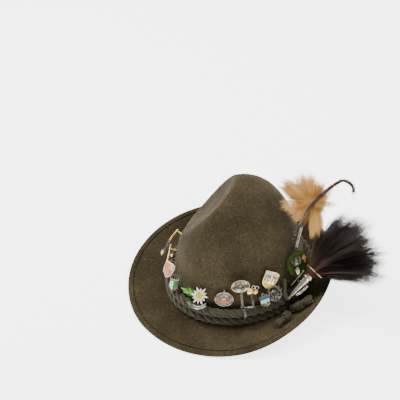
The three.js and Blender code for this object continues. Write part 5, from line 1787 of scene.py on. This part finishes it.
@dataclass
class Brush:
    """The dark hair brush in its silver cone."""

    axis: float = 47.5
    mouth: float = 42.0
    hairs: int = 5600
    hair_radius: float = 0.215
    spread: float = 23.0
    droop: float = 18.0
    outline: tuple[Lock, ...] = (
        Lock(-10, 88), Lock(-6.3, 102), Lock(-3.3, 106), Lock(4.8, 104), Lock(10.9, 110), Lock(15.9, 113),
        Lock(23.4, 112),
        Lock(31.3, 107), Lock(41, 113), Lock(49.7, 107), Lock(54.8, 107), Lock(62.4, 96), Lock(66, 70))

    def along(self, distance: float, x: float = 0, y: float = 0, z: float = 0) -> Points:
        """A point at a distance along the cone's axis."""
        a = math.radians(self.axis)
        return np.array([math.cos(a) * distance + x, math.sin(a) * distance + y, z])

    def build(self, hat: Hat) -> None:
        """Builds holder, hoop and hair."""
        place = Place.facing(hat.over_band(84.5, 32, 8.0), 42, 42)
        self.holder(hat, place)
        rng = np.random.default_rng(5)
        for name, count, core in (("brush_hair_outer", self.hairs, False),
                                  ("brush_hair_inner", self.hairs, True)):
            draft = Draft(name)
            self.hair(draft, place, count, rng, core)
            draft.build(hat, [] if core else ["brush_hair"], shade=False)

    def holder(self, hat: Hat, place: Place) -> None:
        """Builds the cone with its crimped lip, clip and needle, and the wire round the hair's root."""
        way = self.along(1.0)
        side = np.array([-way[1], way[0], 0])
        inner = Place(place.origin, place.axes @ np.stack([side, np.array([0, 0, 1.0]), way], axis=1))
        draft = Draft("brush_cone")
        m = self.mouth
        draft.lathe([(0, -0.4), (1.1, -0.3), (1.7, 0.6), (2.0, 4), (3.2, 14), (4.4, 26), (5.3, 35),
                     (5.6, 37.4), (6.1, 38),
                     (6.1, 38.8), (5.7, 39.3), (6.0, 40.6), (6.7, 42), (6.2, 42.2), (5.2, 40.5), (4.6, 37),
                     (0, 36)],
                    Look.TUBE_SILVER, inner, 48, 1.0,
                    lambda r, a: r * (1 + 0.045 * np.cos(11 * a) * smooth(r, 5.6, 6.6)))
        for z, r in ((16, 3.45), (17.4, 3.6), (33, 5.15)):
            draft.sweep(curve(ring(r, 16, z=z), 0.7, closed=True), 0.32, Look.SILVER, 8, inner)
        a, b = self.along(12, 3.5, -3.5, 2), self.along(31, 5, -5, 2)
        draft.sweep(curve([a, (a + b) / 2 + [0.6, -0.6, 0], b], 1.0), 1.3, Look.TUBE_SILVER, 10, place,
                    flat=0.4)
        for d in (14.0, 29.0):
            draft.sweep(np.stack([self.along(d), self.along(d, 2, -2, 1), self.along(d, 4.2, -4.2, 2)]), 0.8,
                        Look.SILVER, 8, place)
        needle = [self.along(16, -6, 6.5), self.along(41, -6.5, 7)]
        draft.sweep(curve([needle[0], (needle[0] + needle[1]) / 2, needle[1]], 1.0), 0.55, Look.TUBE_SILVER,
                    10, place)
        draft.ball(needle[1], (1.1,) * 3, Look.SILVER, place)
        draft.sweep(np.stack([self.along(27), self.along(27, -3, 3.4), self.along(27, -6.2, 6.8)]), 0.8,
                    Look.SILVER, 8, place)
        draft.build(hat, ["brush_holder"])
        hoop = Draft("brush_wire")
        middle = Place(place.at(self.along(m * 1.21, 0.4, -0.8, 3.4)), inner.axes)
        hoop.sweep(curve(ring(12.6, 20), 1.2, closed=True), 0.6, Look.TUBE_SILVER, 10, middle)
        hoop.build(hat, ["brush_hoop"])

    def hair(self, draft: Draft, place: Place, count: int, rng: np.random.Generator, core: bool) -> None:
        """Adds hairs that fan out from the mouth.

        Args:
            draft: where they go.
            place: the brush's frame.
            count: how many.
            rng: the source of chance.
            core: whether they are the shorter hairs inside.
        """
        angles = np.array([row.angle for row in self.outline], float)
        lengths = np.array([row.length for row in self.outline], float)
        locks = 90
        main = np.linspace(-6.3, 62.4, locks // 2)
        lock_angle = np.concatenate([main + rng.normal(0, 1.0, len(main)),
                                     rng.uniform(-7, 63, locks - len(main))])
        lock_lean = rng.uniform(-self.spread, self.spread, locks)
        lock_lean *= np.sqrt(np.clip(1 - ((lock_angle - 28) / 44) ** 2, 0.06, 1))
        lock_length = np.interp(lock_angle, angles, lengths) * np.concatenate(
            [rng.uniform(0.93, 1.01, len(main)), rng.uniform(0.66, 0.95, locks - len(main))])
        lock_belly = rng.normal(0, 2.6, (locks, 3))
        lock_width = rng.uniform(0.6, 1.35, locks)
        pick = rng.integers(0, locks, count)
        loose = rng.uniform(0, 1, count) < 0.2
        wild = np.where(loose, 5.5, 1.3)
        angle = lock_angle[pick] + rng.normal(0, 1, count) * wild
        lean = lock_lean[pick] + rng.normal(0, 1, count) * wild
        reach = lock_length[pick] * np.where(loose, rng.uniform(0.6, 1.0, count),
                                             1 - rng.gamma(1.3, 0.055, count))
        if core:
            reach *= rng.uniform(0.5, 0.85, count)
        z = np.tan(np.radians(lean))

        def aim(at: Points) -> Points:
            """The way out at an angle, with each hair's lean."""
            return np.stack([np.cos(np.radians(at)), np.sin(np.radians(at)), z], axis=1)

        way, mouth = self.along(1.0), self.along(self.mouth)
        across = unit(rng.normal(size=(count, 3))) * rng.uniform(0, 4.2, (count, 1))
        across = across - np.outer(across @ way, way)
        inside = unit(rng.normal(size=(count, 3))) * rng.uniform(0, 1, (count, 1)) ** 0.6
        belly = lock_belly[pick] + inside * (4.6 * lock_width[pick])[:, None]
        root = mouth - way * 2 + across
        bend = mouth + aim(angle + self.droop) * (reach * 0.5)[:, None] + belly
        spread = inside * (2.7 * lock_width[pick])[:, None]
        tip = mouth + aim(angle) * reach[:, None] + lock_belly[pick] * 0.4 + spread
        near = root + (bend - root) * 0.62 + way * 3
        far = tip + (bend - tip) * 0.6 + inside * 2.2
        tone = np.clip(rng.normal(0.5, 0.2, count) + (rng.uniform(-0.36, 0.36, locks))[pick], 0, 1)
        strands(draft, [place.at(root), place.at(near), place.at(far), place.at(tip)], self.hair_radius,
                Look.DARK_HAIR,
                tone, 5, rng.normal(0, 0.7, (count, 3)) @ place.axes.T, tip=0.35)


@dataclass(frozen=True)
class Lobe:
    """A lobe of the tuft: where it ends from the tuft's middle, and its half width."""

    x: float
    y: float
    z: float
    wide: float


@dataclass
class Tuft:
    """The tan hair tuft on its silver tube, with the hooked quill."""

    top: tuple[float, float, float] = (7.2, 30.8, 8.0)
    middle: tuple[float, float, float] = (21.6, 55.6, 16.8)
    hairs_per_lobe: int = 300
    hair_radius: float = 0.24
    lobes: tuple[Lobe, ...] = (
        Lobe(-45.7, 26.6, 0, 3.5), Lobe(-37, 18.5, 3, 6), Lobe(-35.8, 32, -2, 6), Lobe(-21, 43, 4, 7.5),
        Lobe(-2.5, 39.5, -3, 7.5),
        Lobe(12.4, 28.4, 6, 7.5), Lobe(22, 10, 0, 7), Lobe(-38, -2.5, 4, 6.5), Lobe(-28, -15, -2, 6),
        Lobe(-23.5, -22, 2, 6),
        Lobe(-12, 10, 9, 8), Lobe(4, 4, 9, 8), Lobe(14, -6, 2, 6))
    hanging: tuple[Lobe, ...] = (Lobe(-1, -45, 2, 4.6), Lobe(7, -42, -2, 5), Lobe(13, -34, 1, 5),
                                 Lobe(5, -36, 5, 4.6))
    quill: tuple[tuple[float, float, float], ...] = (
        (-1, -4, 6.3), (1.9, 7.5, 15.4), (7, 16.5, 29.4), (16.8, 28.7, 36.4), (24.5, 36, 32.2),
        (32.9, 43.4, 22.4),
        (42.7, 50.8, 14.7), (52.5, 55.7, 11.9), (59.5, 54.3, 10.5), (66.2, 48.3, 9.8), (67.2, 41, 9.8))

    def build(self, hat: Hat) -> None:
        """Builds tube, hair and quill."""
        place = Place.facing(hat.off_wall(109.7, 5.67, 0.3)[0], 42, 42)
        self.tube(hat, place)
        self.hair(hat, place)
        self.hook(hat, place)

    def tube(self, hat: Hat, place: Place) -> None:
        """Builds the silver tube with its wire scrolls."""
        top = np.array(self.top)
        draft = Draft("tuft_stem")
        path = curve([[0, 0, 0], top / 2, top], 1.0)
        shape = np.interp(np.linspace(0, 1, len(path)), [0, 0.06, 0.12, 0.9, 0.94, 1],
                          [2.2, 2.8, 2.5, 2.7, 3.1, 3.0])
        draft.sweep(path, shape, Look.TUBE_SILVER, 24, place)
        for y in (7.0, 16.0):
            base = top * (y / top[1])
            scroll = curve([base + [-2, 0, 1], base + [-5.4, 0.5, 2], base + [-6.4, 3.4, 2.2],
                            base + [-4.4, 5, 2], base + [-2.2, 4, 1]], 0.6)
            draft.sweep(scroll, 0.55, Look.SILVER, 8, place)
            draft.ball(base + [-6, 4.4, 2.2], (1.0,) * 3, Look.SILVER, place, 10)
        hat.post(draft, place.at([0, 0, 0]))
        draft.build(hat, ["tuft_tube"])

    def hair(self, hat: Hat, place: Place) -> None:
        """Builds the tuft's hairs: the spread lobes, a soft halo between them, and the hanging ones."""
        rng = np.random.default_rng(9)
        draft = Draft("tuft_fur")
        middle = np.array(self.middle)

        def add(goal: Points, wide: Points, reach: Points, sag: float, tone: Points) -> None:
            """Adds hairs that go from the middle to their goals."""
            n = len(goal)
            inside = unit(rng.normal(size=(n, 3))) * rng.uniform(0, 1, (n, 1)) ** 0.5
            start = middle + goal * rng.uniform(0.0, 0.12, (n, 1)) + rng.normal(0, 2.2, (n, 3))
            belly = middle + goal * 0.34 + inside * wide * 1.05 + [0, 0, 2.5] + [0, sag, 0]
            third = middle + goal * 0.7 * reach + inside * wide * 1.1 + [0, sag, 0]
            tip = middle + goal * reach + inside * wide * 0.85
            strands(draft, [place.at(p) for p in (start, belly, third, tip)], self.hair_radius,
                    Look.TAN_HAIR, tone, 5,
                    rng.normal(0, 0.8, (n, 3)) @ place.axes.T, tip=0.3)

        for lobe in self.lobes:
            for _ in range(5):
                n = self.hairs_per_lobe // 5
                aim = np.array([lobe.x, lobe.y, lobe.z]) + rng.normal(0, 1, 3) * lobe.wide * [0.95, 0.95, 0.8]
                reach = rng.uniform(0.82, 1.06) * (1 - rng.gamma(1.5, 0.105, (n, 1)))
                add(np.tile(aim, (n, 1)), np.full((n, 1), lobe.wide * rng.uniform(0.8, 1.25)), reach, 1.5,
                    np.clip(rng.normal(0.5, 0.16, n) + rng.uniform(-0.38, 0.38), 0, 1))
        ends = np.array([[lobe.x, lobe.y, lobe.z] for lobe in self.lobes])
        n = 1300
        first = rng.integers(0, len(ends), n)
        share = rng.uniform(0, 1, (n, 1))
        halo = ends[first] * share + ends[(first + 1) % len(ends)] * (1 - share)
        add(halo, np.full((n, 1), 6.0), rng.uniform(0.72, 1.06, (n, 1)), 0.0, rng.uniform(0.2, 1, n))
        for lobe in self.hanging:
            n = 230
            goal = np.tile([lobe.x, lobe.y, lobe.z], (n, 1)) + rng.normal(0, 0.8, (n, 3))
            add(goal, np.full((n, 1), lobe.wide), 1 - rng.gamma(1.5, 0.1, (n, 1)), 5.0,
                rng.uniform(0.7, 1, n))
        n = 300
        start = np.array(self.top) - [0, 2, 0]
        spread = rng.normal(0, 1.0, (n, 3))
        control = [start + spread * 1.1, start + (middle - start) * 0.4 + spread * 1.7,
                   start + (middle - start) * 0.8 + spread * 3, middle + spread * 5]
        strands(draft, [place.at(p) for p in control], self.hair_radius, Look.TAN_HAIR,
                rng.uniform(0, 0.45, n), 4)
        draft.build(hat, ["tuft_hair"], shade=False)

    def hook(self, hat: Hat, place: Place) -> None:
        """Builds the hooked quill: four long dark stalks laid together, with loose barbs."""
        draft = Draft("hooked_quill")
        path = curve(place.at(np.array(self.top) + np.array(self.quill)), 1.2)
        rope(draft, path, 3.9, Look.QUILL, plies=4, pitch=11, yarns=3)
        rng = np.random.default_rng(2)
        n = 520
        pick = rng.integers(int(len(path) * 0.25), len(path) - 1, n)
        way = unit(path[np.minimum(pick + 1, len(path) - 1)] - path[pick - 1])
        side = unit(np.cross(way, rng.normal(size=(n, 3))))
        root = path[pick] + side * 1.5
        length = rng.uniform(3.0, 9.0, (n, 1))
        control = (root, root + way * length * 0.35 + side * 0.5, root + way * length * 0.7 + side * 1.0,
                   root + way * length + side * rng.uniform(0.2, 2.4, (n, 1)))
        strands(draft, control, 0.2, Look.DARK_HAIR, rng.uniform(0.3, 1, n), 4)
        draft.build(hat, ["quill"])


@dataclass(frozen=True)
class Lamp:
    """A soft square lamp, in metres and watts."""

    name: str
    where: Spot
    size: float
    power: float
    color: Color


@dataclass
class Studio:
    """Floor, lights and camera."""

    focal_pixels: float = 1180.0
    frame_pixels: float = 400.0
    distance: float = 1576.0
    azimuth: float = 42.0
    elevation: float = 42.0
    aim_height: float = 52.5
    aim_pixel: tuple[float, float] = (240.0, 252.0)
    sensor: float = 36.0
    lamps: tuple[Lamp, ...] = (
        Lamp("key", (-1.0, -0.3, 1.6), 0.9, 50.0, (1.0, 0.98, 0.94)),
        Lamp("fill", (1.3, -0.8, 0.9), 1.4, 3.0, (1.0, 0.985, 0.95)),
        Lamp("top", (0.3, 0.9, 1.9), 1.2, 38.0, (1.0, 0.99, 0.96)))
    lamp_aim: float = 0.06
    sky: Color = (1.0, 0.985, 0.96)
    sky_strength: float = 0.42
    floor_half: float = 20.0
    floor_glow: float = 3.2

    def build(self, hat: Hat) -> None:
        """Builds floor, lights and camera."""
        self.floor()
        self.camera(hat)
        for lamp in self.lamps:
            self.light(lamp)
        world = bpy.data.worlds.new("studio")
        world.use_nodes = True
        background = world.node_tree.nodes["Background"]
        background.inputs["Color"].default_value = (*self.sky, 1.0)
        background.inputs["Strength"].default_value = self.sky_strength
        bpy.context.scene.world = world

    def floor(self) -> None:
        """A wide pale floor."""
        mesh = bpy.data.meshes.new("floor")
        half = self.floor_half
        square = [(x * half, y * half, 0) for x, y in ((-1, -1), (1, -1), (1, 1), (-1, 1))]
        mesh.from_pydata(square, [], [(0, 1, 2, 3)])
        board = Board("floor")
        dust = board.cloud(3.0, 2.0)
        color = board.mix(dust, (0.93, 0.93, 0.93), (0.95, 0.95, 0.95))
        mesh.materials.append(board.finish(base_color=color, roughness=0.9, emission_color=(1.0, 1.0, 1.0),
                                           emission_strength=self.floor_glow))
        made = bpy.data.objects.new("floor", mesh)
        bpy.context.scene.collection.objects.link(made)
        made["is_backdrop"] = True

    def light(self, lamp: Lamp) -> None:
        """Sets up a lamp that looks at the hat."""
        data = bpy.data.lights.new(lamp.name, "AREA")
        data.size = lamp.size
        data.energy = lamp.power
        data.color = lamp.color
        made = bpy.data.objects.new(lamp.name, data)
        made.location = lamp.where
        way = Vector((0, 0, self.lamp_aim)) - Vector(lamp.where)
        made.rotation_euler = way.to_track_quat("-Z", "Y").to_euler()
        bpy.context.scene.collection.objects.link(made)

    def camera(self, hat: Hat) -> None:
        """The camera at the photograph's angle."""
        place = Place.facing([0, 0, self.aim_height], self.azimuth, self.elevation)
        data = bpy.data.cameras.new("camera")
        data.sensor_width = self.sensor
        data.lens = self.focal_pixels / self.frame_pixels * self.sensor
        data.shift_x = (self.frame_pixels / 2 - self.aim_pixel[0]) / self.frame_pixels
        data.shift_y = (self.aim_pixel[1] - self.frame_pixels / 2) / self.frame_pixels
        made = bpy.data.objects.new("camera", data)
        turned = Matrix(place.axes.tolist()).to_4x4()
        where = Vector((place.at([0, 0, self.distance]) + hat.shift) * MM)
        made.matrix_world = Matrix.Translation(where) @ turned
        bpy.context.scene.collection.objects.link(made)
        bpy.context.scene.camera = made


def corners() -> list[list[float]]:
    """The shown object's box as plain lists."""
    return [[float(v) for v in corner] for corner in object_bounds()]


def main() -> None:
    """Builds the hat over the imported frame."""
    logging.basicConfig(level=logging.INFO, format="%(name)s %(message)s")
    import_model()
    hat = Hat(FeltForm())
    log.info("crown's axis at %s mm", hat.shift.round(2))
    parts = (Studio(), FeltBody(), CordBand(), Edelweiss(), OvalBadge(), Horn(), CastleShield(), LeftPins(),
             RightPins(), Rosette(), Brush(), Tuft())
    for part in parts:
        part.build(hat)
        log.info("%s done", type(part).__name__)
    bpy.context.view_layer.update()
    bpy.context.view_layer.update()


if __name__ == "__main__":
    main()
